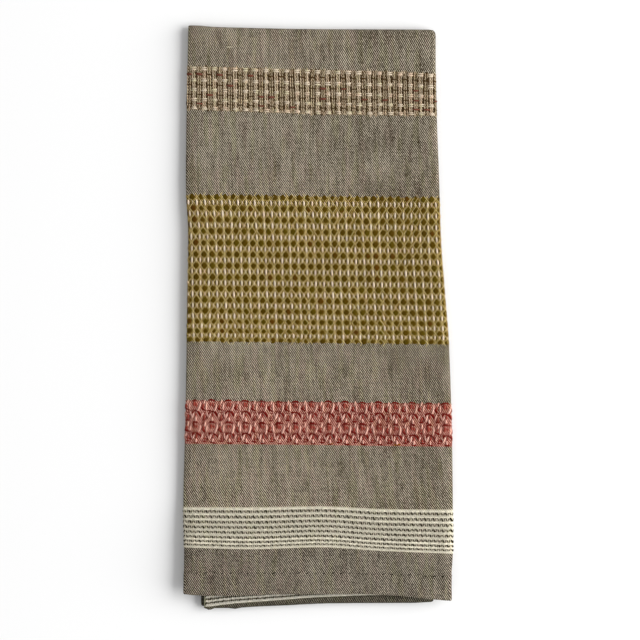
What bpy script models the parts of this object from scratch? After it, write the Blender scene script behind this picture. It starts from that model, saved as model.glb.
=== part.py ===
"""A striped tea towel, folded in thirds along its length and then in half across it.

The towel is one hemmed piece of cloth, so it is one closed solid. It lies face up on a flat
surface. X runs across the towel, Y runs up it towards its top fold, and Z is up. The origin is at
the middle of its footprint, on the surface.

How the cut cloth becomes the towel as it lies:

1. Two side flaps turn behind the middle panel. That makes a pack of three plies.
2. The pack folds in half across, with the flaps inside. That makes six plies.
3. The under half is the longer one, and its hemmed end is turned under. That makes nine plies
   there, and the cloth above rises over them.

The pack's cross-section is a line of cloth with a thickness. It is drawn at stations along the
pack's route: up the front, round the top fold, down the under half, round the bottom fold and back
underneath. In a cross-section, depth is the distance from the middle panel towards the flaps.
"""

import math
from functools import partial
from typing import Callable, NamedTuple

import bmesh
import bpy
import numpy as np

# Driving dimensions, in metres.
FLAT_WIDTH = 0.448
CLOTH_THICKNESS = 0.0010
PLY_GAP = 0.0003
TURNED_UNDER = 0.024  # from the bottom fold to the hem that lies underneath
RISE_RUN = 0.050  # how far the cloth takes to rise over the turned-under end
FLAP_EDGE_CLEARANCE = 0.0028  # least distance from a flap's free edge to the fold that it faces

# How finely the cloth is divided.
PANEL_STEPS = 9
FLAP_STEPS = 6
SIDE_FOLD_STEPS = 5
TURNED_UNDER_STEPS = 2
RISE_STEPS = 7
UPPER_STEPS = 14
CROSS_FOLD_STEPS = 9

CLOTH_COLOUR = (0.216, 0.178, 0.130, 1.0)
CLOTH_ROUGHNESS = 0.9

# What follows from them.
PLY_PITCH = CLOTH_THICKNESS + PLY_GAP
HALF_THICKNESS = CLOTH_THICKNESS / 2
LEFT_FOLD_RADIUS = PLY_PITCH / 2  # the first flap lies next to the middle panel
RIGHT_FOLD_RADIUS = PLY_PITCH  # the second flap lies behind the first
PACK_DEPTH = 2 * PLY_PITCH
TOP_FOLD_RADIUS = PACK_DEPTH + PLY_PITCH / 2  # the middle panel is outermost round the top fold
BOTTOM_FOLD_RADIUS = PLY_PITCH / 2  # and innermost round the bottom fold
LOWEST_PLY = HALF_THICKNESS
TURNED_UNDER_RISE = PACK_DEPTH + PLY_PITCH
LEVELS = TURNED_UNDER_STEPS + RISE_STEPS + UPPER_STEPS


class Sides(NamedTuple):
    """Where the outer faces of the two side folds are, at one height up the towel."""

    y: float
    left: float
    right: float


class EdgePoint(NamedTuple):
    """One point of an end or a cross fold, seen from above."""

    x: float
    y: float


FRONT_SIDES = (
    Sides(y=-0.184, left=-0.0876, right=0.0867),
    Sides(y=-0.174, left=-0.0873, right=0.0865),
    Sides(y=-0.150, left=-0.0872, right=0.0877),
    Sides(y=-0.119, left=-0.0878, right=0.0877),
    Sides(y=-0.092, left=-0.0872, right=0.0875),
    Sides(y=-0.060, left=-0.0864, right=0.0868),
    Sides(y=-0.020, left=-0.0857, right=0.0854),
    Sides(y=0.017, left=-0.0852, right=0.0825),
    Sides(y=0.053, left=-0.0846, right=0.0799),
    Sides(y=0.089, left=-0.0862, right=0.0789),
    Sides(y=0.123, left=-0.0859, right=0.0776),
    Sides(y=0.157, left=-0.0852, right=0.0766),
    Sides(y=0.190, left=-0.0846, right=0.0766),
)
UNDER_SIDES = (
    Sides(y=-0.190, left=-0.0761, right=0.0753),
    Sides(y=-0.070, left=-0.0790, right=0.0757),
    Sides(y=0.060, left=-0.0822, right=0.0763),
    Sides(y=0.190, left=-0.0846, right=0.0766),
)
TOP_FOLD = (
    EdgePoint(x=-0.0846, y=0.1905),
    EdgePoint(x=-0.0780, y=0.1903),
    EdgePoint(x=-0.0690, y=0.1895),
    EdgePoint(x=-0.0460, y=0.1888),
    EdgePoint(x=-0.0070, y=0.1880),
    EdgePoint(x=0.0733, y=0.1876),
    EdgePoint(x=0.0750, y=0.1871),
    EdgePoint(x=0.0766, y=0.1860),
)
BOTTOM_FOLD = (
    EdgePoint(x=-0.0761, y=-0.1900),
    EdgePoint(x=-0.0500, y=-0.1893),
    EdgePoint(x=-0.0200, y=-0.1875),
    EdgePoint(x=0.0100, y=-0.1862),
    EdgePoint(x=0.0662, y=-0.1859),
    EdgePoint(x=0.0753, y=-0.1852),
)
FRONT_HEM = (
    EdgePoint(x=-0.0876, y=-0.1793),
    EdgePoint(x=-0.0768, y=-0.1801),
    EdgePoint(x=-0.0625, y=-0.1804),
    EdgePoint(x=-0.0280, y=-0.1794),
    EdgePoint(x=0.0240, y=-0.1791),
    EdgePoint(x=0.0530, y=-0.1804),
    EdgePoint(x=0.0727, y=-0.1824),
    EdgePoint(x=0.0867, y=-0.1836),
)


class Station(NamedTuple):
    """One cross-section of the pack: its side folds, and how it stands in space."""

    left: float
    right: float
    place: Callable[[float, float], tuple[float, float]]  # x and depth to y and z


def along(edge: tuple[EdgePoint, ...], x: float) -> float:
    """How far up the towel an edge is at x."""
    return float(np.interp(x, [point.x for point in edge], [point.y for point in edge]))


def sides_at(table: tuple[Sides, ...], y: float) -> tuple[float, float]:
    """The left and right side folds at y."""
    heights = [row.y for row in table]
    left = np.interp(y, heights, [row.left for row in table])
    right = np.interp(y, heights, [row.right for row in table])
    return float(left), float(right)


def top_fold_centre(x: float) -> float:
    """The line that the top fold turns round, which lies inside the fold's outer face."""
    return along(TOP_FOLD, x) - TOP_FOLD_RADIUS - HALF_THICKNESS


def bottom_fold_centre(x: float) -> float:
    """The line that the bottom fold turns round. The second flap is outermost there."""
    return along(BOTTOM_FOLD, x) + BOTTOM_FOLD_RADIUS + PACK_DEPTH + HALF_THICKNESS


def rise(x: float, y: float) -> float:
    """How much higher the cloth lies at a place because of the end turned under it."""
    past_the_hem = y - bottom_fold_centre(x) - TURNED_UNDER
    share = min(max(1 - past_the_hem / RISE_RUN, 0.0), 1.0)
    return TURNED_UNDER_RISE * share * share * (3 - 2 * share)


def level_height(level: int, x: float) -> float:
    """How far up the towel a numbered level is at x.

    Level 0 is where the bottom fold ends and LEVELS is where the top fold begins. Every ply bends
    at the same levels, so that none cuts into the next where the cloth rises.
    """
    bottom = bottom_fold_centre(x)
    if level <= TURNED_UNDER_STEPS:
        return bottom + TURNED_UNDER * level / TURNED_UNDER_STEPS
    level -= TURNED_UNDER_STEPS
    rise_start = bottom + TURNED_UNDER
    if level <= RISE_STEPS:
        return rise_start + RISE_RUN * level / RISE_STEPS
    level -= RISE_STEPS
    rise_end = rise_start + RISE_RUN
    return rise_end + (top_fold_centre(x) - rise_end) * level / UPPER_STEPS


def front_station(height: Callable[[float], float]) -> Station:
    """A cross-section of the front, at a height up the towel that is given for each x."""

    def place(x: float, depth: float) -> tuple[float, float]:
        y = height(x)
        return y, LOWEST_PLY + 2 * TOP_FOLD_RADIUS - depth + rise(x, y)

    left, right = sides_at(FRONT_SIDES, height(0))
    return Station(left, right, place)


def top_fold_station(share: float) -> Station:
    """A cross-section round the top fold."""
    angle = math.pi * share

    def place(x: float, depth: float) -> tuple[float, float]:
        radius = TOP_FOLD_RADIUS - depth
        y = top_fold_centre(x) + radius * math.sin(angle)
        return y, LOWEST_PLY + TOP_FOLD_RADIUS + radius * math.cos(angle)

    left, right = sides_at(FRONT_SIDES, FRONT_SIDES[-1].y)
    return Station(left, right, place)


def under_station(level: int) -> Station:
    """A cross-section of the under half, at a numbered level."""

    def place(x: float, depth: float) -> tuple[float, float]:
        y = level_height(level, x)
        return y, LOWEST_PLY + depth + rise(x, y)

    left, right = sides_at(UNDER_SIDES, level_height(level, 0))
    return Station(left, right, place)


def bottom_fold_station(share: float) -> Station:
    """A cross-section round the bottom fold, where the pack turns down and under."""
    angle = math.pi * share
    axis_height = LOWEST_PLY + BOTTOM_FOLD_RADIUS + PACK_DEPTH

    def place(x: float, depth: float) -> tuple[float, float]:
        radius = BOTTOM_FOLD_RADIUS + depth
        y = bottom_fold_centre(x) - radius * math.sin(angle)
        return y, axis_height + radius * math.cos(angle)

    left, right = sides_at(UNDER_SIDES, UNDER_SIDES[0].y)
    return Station(left, right, place)


def turned_under_station(level: int) -> Station:
    """A cross-section of the end that lies underneath, at a numbered level. The last is its hem."""

    def place(x: float, depth: float) -> tuple[float, float]:
        return level_height(level, x), LOWEST_PLY + PACK_DEPTH - depth

    left, right = sides_at(UNDER_SIDES, UNDER_SIDES[0].y)
    return Station(left, right, place)


def stations() -> list[Station]:
    """Every cross-section, in order along the pack from the front hem to the hem underneath."""
    round_a_fold = [step / CROSS_FOLD_STEPS for step in range(1, CROSS_FOLD_STEPS + 1)]
    route = [front_station(partial(along, FRONT_HEM))]
    route += [front_station(partial(level_height, level)) for level in range(1, LEVELS + 1)]
    route += [top_fold_station(share) for share in round_a_fold]
    route += [under_station(level) for level in range(LEVELS - 1, -1, -1)]
    route += [bottom_fold_station(share) for share in round_a_fold]
    route += [turned_under_station(level) for level in range(1, TURNED_UNDER_STEPS + 1)]
    return route


def side_fold(x: float, depth: float, radius: float, towards: int) -> list[tuple[float, float]]:
    """The line of cloth round a side fold, between its two tangent points.

    It turns round (x, depth), bulging to the left where towards is -1 and to the right where it
    is 1. The left fold runs towards the middle panel, and the right one away from it.
    """
    line = []
    for step in range(1, SIDE_FOLD_STEPS):
        angle = math.pi * step / SIDE_FOLD_STEPS
        line.append(
            (x + towards * radius * math.sin(angle), depth - towards * radius * math.cos(angle))
        )
    return line


def cloth_line(left: float, right: float) -> list[tuple[float, float]]:
    """The line of cloth in one cross-section, as x and depth, from one free edge to the other."""
    panel_left = left + HALF_THICKNESS + LEFT_FOLD_RADIUS
    panel_right = right - HALF_THICKNESS - RIGHT_FOLD_RADIUS
    first_flap = right - FLAP_EDGE_CLEARANCE - panel_left
    second_flap = panel_right - left - FLAP_EDGE_CLEARANCE
    folds = math.pi * (LEFT_FOLD_RADIUS + RIGHT_FOLD_RADIUS)
    to_spare = panel_right - panel_left + folds + first_flap + second_flap - FLAT_WIDTH
    first_free_edge = panel_left + first_flap - to_spare / 2
    second_free_edge = panel_right - second_flap + to_spare / 2

    line = [(float(x), PLY_PITCH) for x in np.linspace(first_free_edge, panel_left, FLAP_STEPS + 1)]
    line += side_fold(panel_left, LEFT_FOLD_RADIUS, LEFT_FOLD_RADIUS, towards=-1)
    line += [(float(x), 0.0) for x in np.linspace(panel_left, panel_right, PANEL_STEPS + 1)]
    line += side_fold(panel_right, RIGHT_FOLD_RADIUS, RIGHT_FOLD_RADIUS, towards=1)
    line += [(float(x), PACK_DEPTH) for x in np.linspace(panel_right, second_free_edge, FLAP_STEPS + 1)]
    return line


def thicken(line: list[tuple[float, float]]) -> tuple[np.ndarray, np.ndarray]:
    """The two faces of the cloth on either side of its line: the right side, then the wrong side."""
    points = np.array(line)
    steps = np.diff(points, axis=0)
    steps /= np.linalg.norm(steps, axis=1)[:, None]
    before = np.vstack([steps[:1], steps])
    after = np.vstack([steps, steps[-1:]])
    run = before + after
    run /= np.linalg.norm(run, axis=1)[:, None]
    widening = 1 / np.sum(run * after, axis=1)
    across = np.column_stack([-run[:, 1], run[:, 0]]) * (HALF_THICKNESS * widening)[:, None]
    return points - across, points + across


def towel_mesh(route: list[Station]) -> bpy.types.Mesh:
    """The towel as one closed mesh: a skin along the route, and a cap at each hemmed end."""
    shape = bmesh.new()
    rings = []
    for station in route:
        right_side, wrong_side = thicken(cloth_line(station.left, station.right))
        outline = np.vstack([right_side, wrong_side[::-1]])
        ring = [shape.verts.new((x, *station.place(x, depth))) for x, depth in outline]
        rings.append(ring)

    count = len(rings[0])
    for ring, following in zip(rings, rings[1:]):
        for i in range(count):
            j = (i + 1) % count
            shape.faces.new((ring[i], ring[j], following[j], following[i]))
    for ring in (rings[0], rings[-1]):
        for i in range(count // 2 - 1):
            shape.faces.new((ring[i], ring[i + 1], ring[-2 - i], ring[-1 - i]))

    bmesh.ops.recalc_face_normals(shape, faces=shape.faces)
    mesh = bpy.data.meshes.new("tea_towel")
    shape.to_mesh(mesh)
    shape.free()
    return mesh


def cloth_material() -> bpy.types.Material:
    """The plain grey-brown of the towel's ground weave."""
    material = bpy.data.materials.new("woven_cloth")
    material.use_nodes = True
    shader = material.node_tree.nodes["Principled BSDF"]
    shader.inputs["Base Color"].default_value = CLOTH_COLOUR
    shader.inputs["Roughness"].default_value = CLOTH_ROUGHNESS
    shader.inputs["Metallic"].default_value = 0.0
    return material


def main() -> None:
    """Builds the towel in an empty scene."""
    for existing in list(bpy.data.objects):
        bpy.data.objects.remove(existing)
    mesh = towel_mesh(stations())
    mesh.materials.append(cloth_material())
    mesh.shade_smooth()
    mesh.set_sharp_from_angle(angle=math.radians(50))
    towel = bpy.data.objects.new("tea_towel", mesh)
    bpy.context.scene.collection.objects.link(towel)


main()
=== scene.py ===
"""A folded tea towel: twill cloth with raised yarns in four bands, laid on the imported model."""

import logging
import math
from dataclasses import dataclass, field, replace
from enum import Enum

import bpy
import numpy as np
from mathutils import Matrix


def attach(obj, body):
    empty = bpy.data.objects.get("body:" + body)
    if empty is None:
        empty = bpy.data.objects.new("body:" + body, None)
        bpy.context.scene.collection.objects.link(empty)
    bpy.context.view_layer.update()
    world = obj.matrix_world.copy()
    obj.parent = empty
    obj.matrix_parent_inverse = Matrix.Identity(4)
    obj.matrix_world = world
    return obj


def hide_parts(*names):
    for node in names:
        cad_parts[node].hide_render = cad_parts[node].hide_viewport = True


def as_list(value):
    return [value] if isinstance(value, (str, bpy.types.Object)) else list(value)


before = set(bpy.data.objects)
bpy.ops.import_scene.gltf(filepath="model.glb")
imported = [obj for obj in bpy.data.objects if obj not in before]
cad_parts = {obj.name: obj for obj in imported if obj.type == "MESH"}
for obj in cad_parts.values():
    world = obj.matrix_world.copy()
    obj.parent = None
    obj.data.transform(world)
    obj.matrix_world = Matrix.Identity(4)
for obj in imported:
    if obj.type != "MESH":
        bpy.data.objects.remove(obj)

MM = 0.001
CLOTH_UV = "Cloth"
THREADS_UV = "Threads"
BAKE_UV = "OFBake"
SHADE = "shade"
BODY = "root"
CAD_NODE = "tea_towel"

# The spacing of the warp ends.
END_PITCH = 0.448 * MM
# A float on the under half has half of its points along it, but no fewer than these.
FEWEST_POINTS = 4
# Cotton has hardly any gloss.
GLOSS = 0.06
# The share of a float that its binding picks leave clear.
BINDING_COVER = 0.64

LOG = logging.getLogger("tea_towel")

Colour = tuple[float, float, float, float]
Place = bpy.types.NodeSocket | bpy.types.Node | float | int | tuple | str | bool


class Half(Enum):
    """The two halves of the towel, which carry the same bands end for end."""

    FRONT = "front"
    UNDER = "under"
    LEDGE = "ledge"


class Tree(Enum):
    """The kinds of node tree that are built here."""

    GEOMETRY = "GeometryNodeTree"
    SHADER = "ShaderNodeTree"


class Socket(Enum):
    """The kinds of socket that the node groups take and give."""

    NUMBER = "NodeSocketFloat"
    COUNT = "NodeSocketInt"
    VECTOR = "NodeSocketVector"
    GEOMETRY = "NodeSocketGeometry"
    MATERIAL = "NodeSocketMaterial"


# ---------------------------------------------------------------------------------------------
# The cloth and its folds
# ---------------------------------------------------------------------------------------------


@dataclass(frozen=True)
class SmoothLine:
    """A smooth line through a short table of places and values, in metres."""

    rows: tuple[tuple[float, float], ...]

    def __call__(self, at: np.ndarray) -> np.ndarray:
        """Reads the line, and goes on straight past its ends.

        Args:
            at: The places to read it at.

        Returns:
            The values there.
        """
        places, values = np.array(self.rows, float).T
        steps = np.diff(places)
        slopes = np.diff(values) / steps
        before, after = slopes[:-1], slopes[1:]
        same_way = before * after > 0
        sums = np.where(same_way, before + after, 1.0)
        inner = np.where(same_way, 2 * before * after / sums, 0.0)
        tangents = np.concatenate([slopes[:1], inner, slopes[-1:]])
        at = np.asarray(at, float)
        span = np.clip(np.searchsorted(places, at) - 1, 0, len(steps) - 1)
        step = steps[span]
        share = (at - places[span]) / step
        held = np.clip(share, 0, 1)
        past = (share - held) * step
        low, high = values[span], values[span + 1]
        curve = (
            (1 + 2 * held) * (1 - held) ** 2 * low
            + held * (1 - held) ** 2 * step * tangents[span]
            + held**2 * (3 - 2 * held) * high
            + held**2 * (held - 1) * step * tangents[span + 1]
        )
        return curve + past * np.where(past < 0, tangents[0], tangents[-1])


def in_mm(*rows: tuple[float, ...]) -> tuple[tuple[float, ...], ...]:
    """Turns a table written in millimetres into metres.

    Args:
        rows: The table's rows.

    Returns:
        The same rows in metres.
    """
    return tuple(tuple(value * MM for value in row) for row in rows)


def smooth_step(share: np.ndarray) -> np.ndarray:
    """Eases a share from 0 to 1, for a soft start and end."""
    share = np.clip(share, 0, 1)
    return share * share * (3 - 2 * share)


@dataclass(frozen=True)
class FoldedCloth:
    """The cloth as it is folded: in thirds lengthwise, then in half across, one end turned under.

    A point of the cloth is given by u across it, v along it from the front hem, and its lift
    from the middle of the cloth towards the right side.
    """

    width: float = 448 * MM
    length: float = 767 * MM
    ply_pitch: float = 1.3 * MM
    half_thickness: float = 0.5 * MM
    turned_under: float = 24 * MM
    rise_run: float = 50 * MM
    flap_clearance: float = 1.9 * MM
    flap_shift: float = 1.1 * MM
    # From the middle of the outer ply to that of the innermost.
    pack_depth: float = 2 * ply_pitch
    # The folds' radii at the middle of the cloth: top at the outer ply, bottom at the innermost.
    left_radius: float = ply_pitch / 2
    right_radius: float = ply_pitch
    top_radius: float = pack_depth + ply_pitch / 2
    bottom_radius: float = ply_pitch / 2
    # The length of cloth in the bottom fold, at the ply that shows.
    bottom_arc: float = math.pi * (bottom_radius + pack_depth)
    top_fold_from: float = 363.4 * MM
    top_fold_to: float = 373.6 * MM
    ledge_stripe_v: float = 736.3 * MM

    # Columns: y, the left side of the strip.
    front_left: SmoothLine = SmoothLine(
        in_mm(
            (-184, -87.6), (-174, -87.3), (-150, -87.2), (-119, -87.8), (-92, -87.2), (-60, -86.4),
            (-20, -85.7), (17, -85.2), (53, -84.6), (89, -86.2), (123, -85.9), (157, -85.2), (190, -84.6),
        )
    )
    # Columns: y, the right side of the strip.
    front_right: SmoothLine = SmoothLine(
        in_mm(
            (-184, 86.7), (-174, 86.5), (-150, 87.7), (-119, 87.7), (-92, 87.5), (-60, 86.8),
            (-20, 85.4), (17, 82.5), (53, 79.9), (89, 78.9), (123, 77.6), (157, 76.6), (190, 76.6),
        )
    )
    under_left: SmoothLine = SmoothLine(in_mm((-190, -76.1), (-70, -79.0), (60, -82.2), (190, -84.6)))
    under_right: SmoothLine = SmoothLine(in_mm((-190, 75.3), (-70, 75.7), (60, 76.3), (190, 76.6)))
    # Columns: x, the fold's outermost y.
    top_fold: SmoothLine = SmoothLine(
        in_mm(
            (-84.6, 190.5), (-78.0, 190.3), (-69.0, 189.5), (-46.0, 188.8),
            (-7.0, 188.0), (73.3, 187.6), (75.0, 187.1), (76.6, 186.0),
        )
    )
    bottom_fold: SmoothLine = SmoothLine(
        in_mm(
            (-76.1, -189.0), (-73.0, -189.7), (-70.7, -190.6), (-67.5, -189.4), (-57.5, -189.3),
            (-54.7, -189.9), (-51.0, -189.1), (-20.0, -187.5), (10.0, -186.2), (66.2, -185.9), (75.3, -185.2),
        )
    )
    front_hem: SmoothLine = SmoothLine(
        in_mm(
            (-87.6, -179.3), (-76.8, -180.1), (-62.5, -180.4), (-28.0, -179.4),
            (24.0, -179.1), (53.0, -180.4), (72.7, -182.4), (86.7, -183.6),
        )
    )
    # The last woven stripe of the under half, as it lies on the ledge below the front hem. Columns: x, y.
    ledge_stripe: SmoothLine = SmoothLine(
        in_mm(
            (-76.0, -187.5), (-72.9, -187.3), (-61.8, -185.9), (-46.9, -184.6), (-37.1, -183.9),
            (-19.6, -182.6), (-9.2, -181.7), (1.9, -181.1), (14.2, -180.6), (35.0, -179.9), (76.0, -179.6),
        )
    )
    # Weft lines of the front. Columns: v, then y at each of weft_line_places.
    weft_line_places: tuple[float, ...] = (-85 * MM, -43 * MM, 0.0, 43 * MM, 85 * MM)
    weft_lines: tuple[tuple[float, ...], ...] = in_mm(
        (13.5, -165.4, -165.6, -165.6, -166.3, -167.7),
        (30.7, -148.7, -149.7, -148.4, -150.9, -152.6),
        (56.3, -123.5, -123.6, -122.9, -124.7, -125.1),
        (95.4, -82.9, -83.3, -83.7, -84.3, -84.8),
        (124.7, -53.3, -54.0, -54.5, -55.1, -55.6),
        (162.8, -15.3, -15.7, -16.3, -16.8, -17.2),
        (257.1, 79.0, 78.5, 78.0, 77.4, 77.0),
        (312.7, 136.8, 135.2, 133.6, 132.9, 132.4),
        (339.5, 162.8, 161.6, 160.4, 159.4, 157.3),
    )
    # Where the side folds cross the threads. Columns: y, u at the fold.
    front_left_threads: SmoothLine = SmoothLine(in_mm((-180, 131.5), (0, 139.0), (184, 145.4)))
    front_right_threads: SmoothLine = SmoothLine(
        in_mm((-180, 302.0), (-137, 303.1), (-70, 308.4), (32, 307.7), (150, 306.9), (184, 307.2))
    )
    # How many picks lie between the hem and v: the weaver's beat wasn't even. Columns: v, picks.
    picks: SmoothLine = SmoothLine(
        (
            (0.0, 0.0), (30 * MM, 45.5), (57 * MM, 84.0), (96 * MM, 137.1), (163 * MM, 228.9),
            (258 * MM, 364.6), (312 * MM, 444.6), (340 * MM, 483.5), (383.5 * MM, 539.8),
        )
    )
    under_left_threads: SmoothLine = SmoothLine(in_mm((-190, 148.0), (184, 145.4)))
    under_right_threads: SmoothLine = SmoothLine(in_mm((-190, 301.0), (184, 306.4)))

    # Rough places, from which the exact ones are worked out. Columns: u, x.
    rough_places: tuple[tuple[float, float], ...] = in_mm((0, 58), (140, -86), (306, 80), (448, -66))
    # The rough x at the ends of the section's five runs.
    rough_corners: tuple[float, ...] = in_mm((60, -82, -82, 79, 79, -70))[0]
    # Rounds of working out where the cloth lies.
    rounds: int = 4
    # The pile's waves. Columns: height as a share, length across, length along, start.
    cockles: tuple[tuple[float, ...], ...] = (
        (0.022, 17 * MM, 46 * MM, 0.6), (0.020, -29 * MM, 23 * MM, 2.1), (0.012, 9 * MM, 60 * MM, 4.0),
    )

    def thread_numbers(self, u: np.ndarray, v: np.ndarray) -> np.ndarray:
        """The numbers of the warp end and of the pick at points of the cloth.

        Args:
            u: Places across the cloth.
            v: Places along it.

        Returns:
            The two numbers, a row for each point.
        """
        half = self.length / 2
        from_hem = self.picks(np.minimum(v, self.length - v))
        picks = np.where(v < half, from_hem, 2 * self.picks(np.array([half]))[0] - from_hem)
        return np.column_stack([u / END_PITCH, picks])

    def top_centre(self, x: np.ndarray) -> np.ndarray:
        """The y of the top fold's centre line."""
        return self.top_fold(x) - self.top_radius - self.half_thickness

    def bottom_centre(self, x: np.ndarray) -> np.ndarray:
        """The y of the bottom fold's centre line."""
        return self.bottom_fold(x) + self.bottom_radius + self.pack_depth + self.half_thickness

    def bottom_start(self, x: np.ndarray) -> np.ndarray:
        """The v at which the under half goes into the bottom fold."""
        return self.ledge_stripe_v - (self.bottom_centre(x) - self.ledge_stripe(x))

    def rise(self, x: np.ndarray, y: np.ndarray) -> np.ndarray:
        """How far the cloth is lifted where it runs up onto the turned-under end.

        Args:
            x: Places across the towel.
            y: Places up the towel.

        Returns:
            The lift there.
        """
        past = y - self.bottom_centre(x) - self.turned_under
        return (self.pack_depth + self.ply_pitch) * smooth_step(1 - past / self.rise_run)

    def front_y(self, v: np.ndarray, x: np.ndarray) -> np.ndarray:
        """Where the front's weft lies.

        Args:
            v: Places along the cloth.
            x: Places across the towel.

        Returns:
            The y there.
        """
        places = np.array([0.0, *(row[0] for row in self.weft_lines), self.top_fold_from])
        lines = [self.front_hem(x)]
        lines += [SmoothLine(tuple(zip(self.weft_line_places, row[1:])))(x) for row in self.weft_lines]
        lines += [self.top_centre(x)]
        heights = np.array(lines)
        span = np.clip(np.searchsorted(places, v) - 1, 0, len(places) - 2)
        share = (v - places[span]) / (places[span + 1] - places[span])
        column = np.arange(len(v))
        return heights[span, column] * (1 - share) + heights[span + 1, column] * share

    def run(self, v: np.ndarray, x: np.ndarray) -> tuple[np.ndarray, ...]:
        """Follows the cloth along its length, over the folds across it.

        Args:
            v: Places along the cloth.
            x: Places across the towel.

        Returns:
            The straight runs' y, the turn in the top fold and the turn in the bottom fold, and
            how much of each point is on the under half.
        """
        top, bottom = self.top_centre(x), self.bottom_centre(x)
        start = self.bottom_start(x)
        end = start + (self.length - start) * self.bottom_arc / (self.bottom_arc + self.turned_under)
        top_turn = np.pi * np.clip((v - self.top_fold_from) / (self.top_fold_to - self.top_fold_from), 0, 1)
        bottom_turn = np.pi * np.clip((v - start) / (end - start), 0, 1)
        under_share = np.clip((v - self.top_fold_to) / (start - self.top_fold_to), 0, 1)
        past_share = np.maximum(v - end, 0) / (self.length - end)
        under_y = top + (bottom - top) * under_share + self.turned_under * past_share
        y = np.where(v < self.top_fold_from, self.front_y(v, x), under_y)
        return y, top_turn, bottom_turn, (v > (self.top_fold_from + self.top_fold_to) / 2).astype(float)

    def sections(self, y: np.ndarray, under: np.ndarray) -> tuple[np.ndarray, ...]:
        """The strip's measures where a section is cut through it.

        Args:
            y: Where it is cut.
            under: 1 on the under half, 0 on the front.

        Returns:
            The panel's left and right ends, the lengths of the section's five runs, the lengths
            from the first free edge to the two folds' outermost lines, and the threads there.
        """
        left = np.where(under > 0, self.under_left(y), self.front_left(y))
        right = np.where(under > 0, self.under_right(y), self.front_right(y))
        left_u = np.where(under > 0, self.under_left_threads(y), self.front_left_threads(y))
        right_u = np.where(under > 0, self.under_right_threads(y), self.front_right_threads(y))
        panel_left = left + self.half_thickness + self.left_radius
        panel_right = right - self.half_thickness - self.right_radius
        first_flap = right - self.flap_clearance - panel_left
        second_flap = panel_right - left - self.flap_clearance
        folds = math.pi * (self.left_radius + self.right_radius)
        to_spare = panel_right - panel_left + folds + first_flap + second_flap - self.width
        first_flap = first_flap - to_spare / 2 - self.flap_shift
        second_flap = second_flap - to_spare / 2 + self.flap_shift
        one = np.ones_like(left)
        runs = np.array(
            [
                first_flap,
                math.pi * self.left_radius * one,
                panel_right - panel_left,
                math.pi * self.right_radius * one,
                second_flap,
            ]
        )
        to_left = runs[0] + runs[1] / 2
        to_right = runs[:3].sum(0) + runs[3] / 2
        return panel_left, panel_right, runs, to_left, to_right, left_u, right_u

    def thread_at(self, column: np.ndarray, v: np.ndarray) -> np.ndarray:
        """Finds the thread at a place in the section.

        Args:
            column: The place: 0 to 1 on the first flap, 1 to 2 in the left fold, 2 to 3 on the
                panel, 3 to 4 in the right fold and 4 to 5 on the second flap.
            v: Places along the cloth.

        Returns:
            The u there.
        """
        x = np.interp(column, range(6), self.rough_corners)
        y, _, _, under = self.run(v, x)
        _, _, runs, to_left, to_right, left_u, right_u = self.sections(y, under)
        along = sum(np.clip(column - number, 0, 1) * runs[number] for number in range(5))
        whole = runs.sum(0)
        return (
            np.clip(along / to_left, 0, 1) * left_u
            + np.clip((along - to_left) / (to_right - to_left), 0, 1) * (right_u - left_u)
            + np.clip((along - to_right) / (whole - to_right), 0, 1) * (self.width - right_u)
        )

    def section_point(
        self, u: np.ndarray, lift: np.ndarray, y: np.ndarray, under: np.ndarray
    ) -> tuple[np.ndarray, ...]:
        """Follows the cloth across its width, round the two side folds.

        Args:
            u: Places across the cloth.
            lift: Heights above the middle of the cloth, on its right side.
            y: Where the section is cut.
            under: 1 on the under half, 0 on the front.

        Returns:
            The x there and the depth into the pack.
        """
        panel_left, panel_right, runs, to_left, to_right, left_u, right_u = self.sections(y, under)
        whole = runs.sum(0)
        along = (
            np.clip(u / left_u, 0, 1) * to_left
            + np.clip((u - left_u) / (right_u - left_u), 0, 1) * (to_right - to_left)
            + np.clip((u - right_u) / (self.width - right_u), 0, 1) * (whole - to_right)
            + np.minimum(u, 0)
            + np.maximum(u - self.width, 0)
        )
        starts = np.concatenate([np.zeros((1, len(y))), np.cumsum(runs, 0)])
        first_edge = panel_left + runs[0]
        left_turn = (along - starts[1]) / self.left_radius
        right_turn = (along - starts[3]) / self.right_radius
        left_reach, right_reach = self.left_radius + lift, self.right_radius + lift
        places = [along < starts[1], along < starts[2], along < starts[3], along < starts[4]]
        x = np.select(
            places,
            [
                first_edge - along,
                panel_left - left_reach * np.sin(left_turn),
                panel_left + along - starts[2],
                panel_right + right_reach * np.sin(right_turn),
            ],
            panel_right - (along - starts[4]),
        )
        depth = np.select(
            places,
            [
                self.ply_pitch + lift,
                self.left_radius + left_reach * np.cos(left_turn),
                -lift,
                self.right_radius - right_reach * np.cos(right_turn),
            ],
            self.pack_depth + lift,
        )
        return x, depth

    def unevenness(self, x: np.ndarray, y: np.ndarray) -> np.ndarray:
        """How the pile of plies swells and sinks, as a factor of its height.

        Args:
            x: Places across the towel.
            y: Places up the towel.

        Returns:
            The factor, which is the same for all plies, so none runs into the next.
        """
        left, right = self.front_left(y), self.front_right(y)
        pressed = np.exp(-(((x - left) / (4 * MM)) ** 2)) + np.exp(-(((right - x) / (3 * MM)) ** 2))
        cockles = sum(
            height * np.sin(x / across + y / along + start) for height, across, along, start in self.cockles
        )
        near_hem = smooth_step((-120 * MM - y) / (60 * MM)) * smooth_step((x + 20 * MM) / (60 * MM))
        ripples = 0.03 * near_hem * np.sin(x / (4.6 * MM) + y / (30 * MM))
        return 1 - 0.13 * pressed + cockles + ripples

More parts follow.
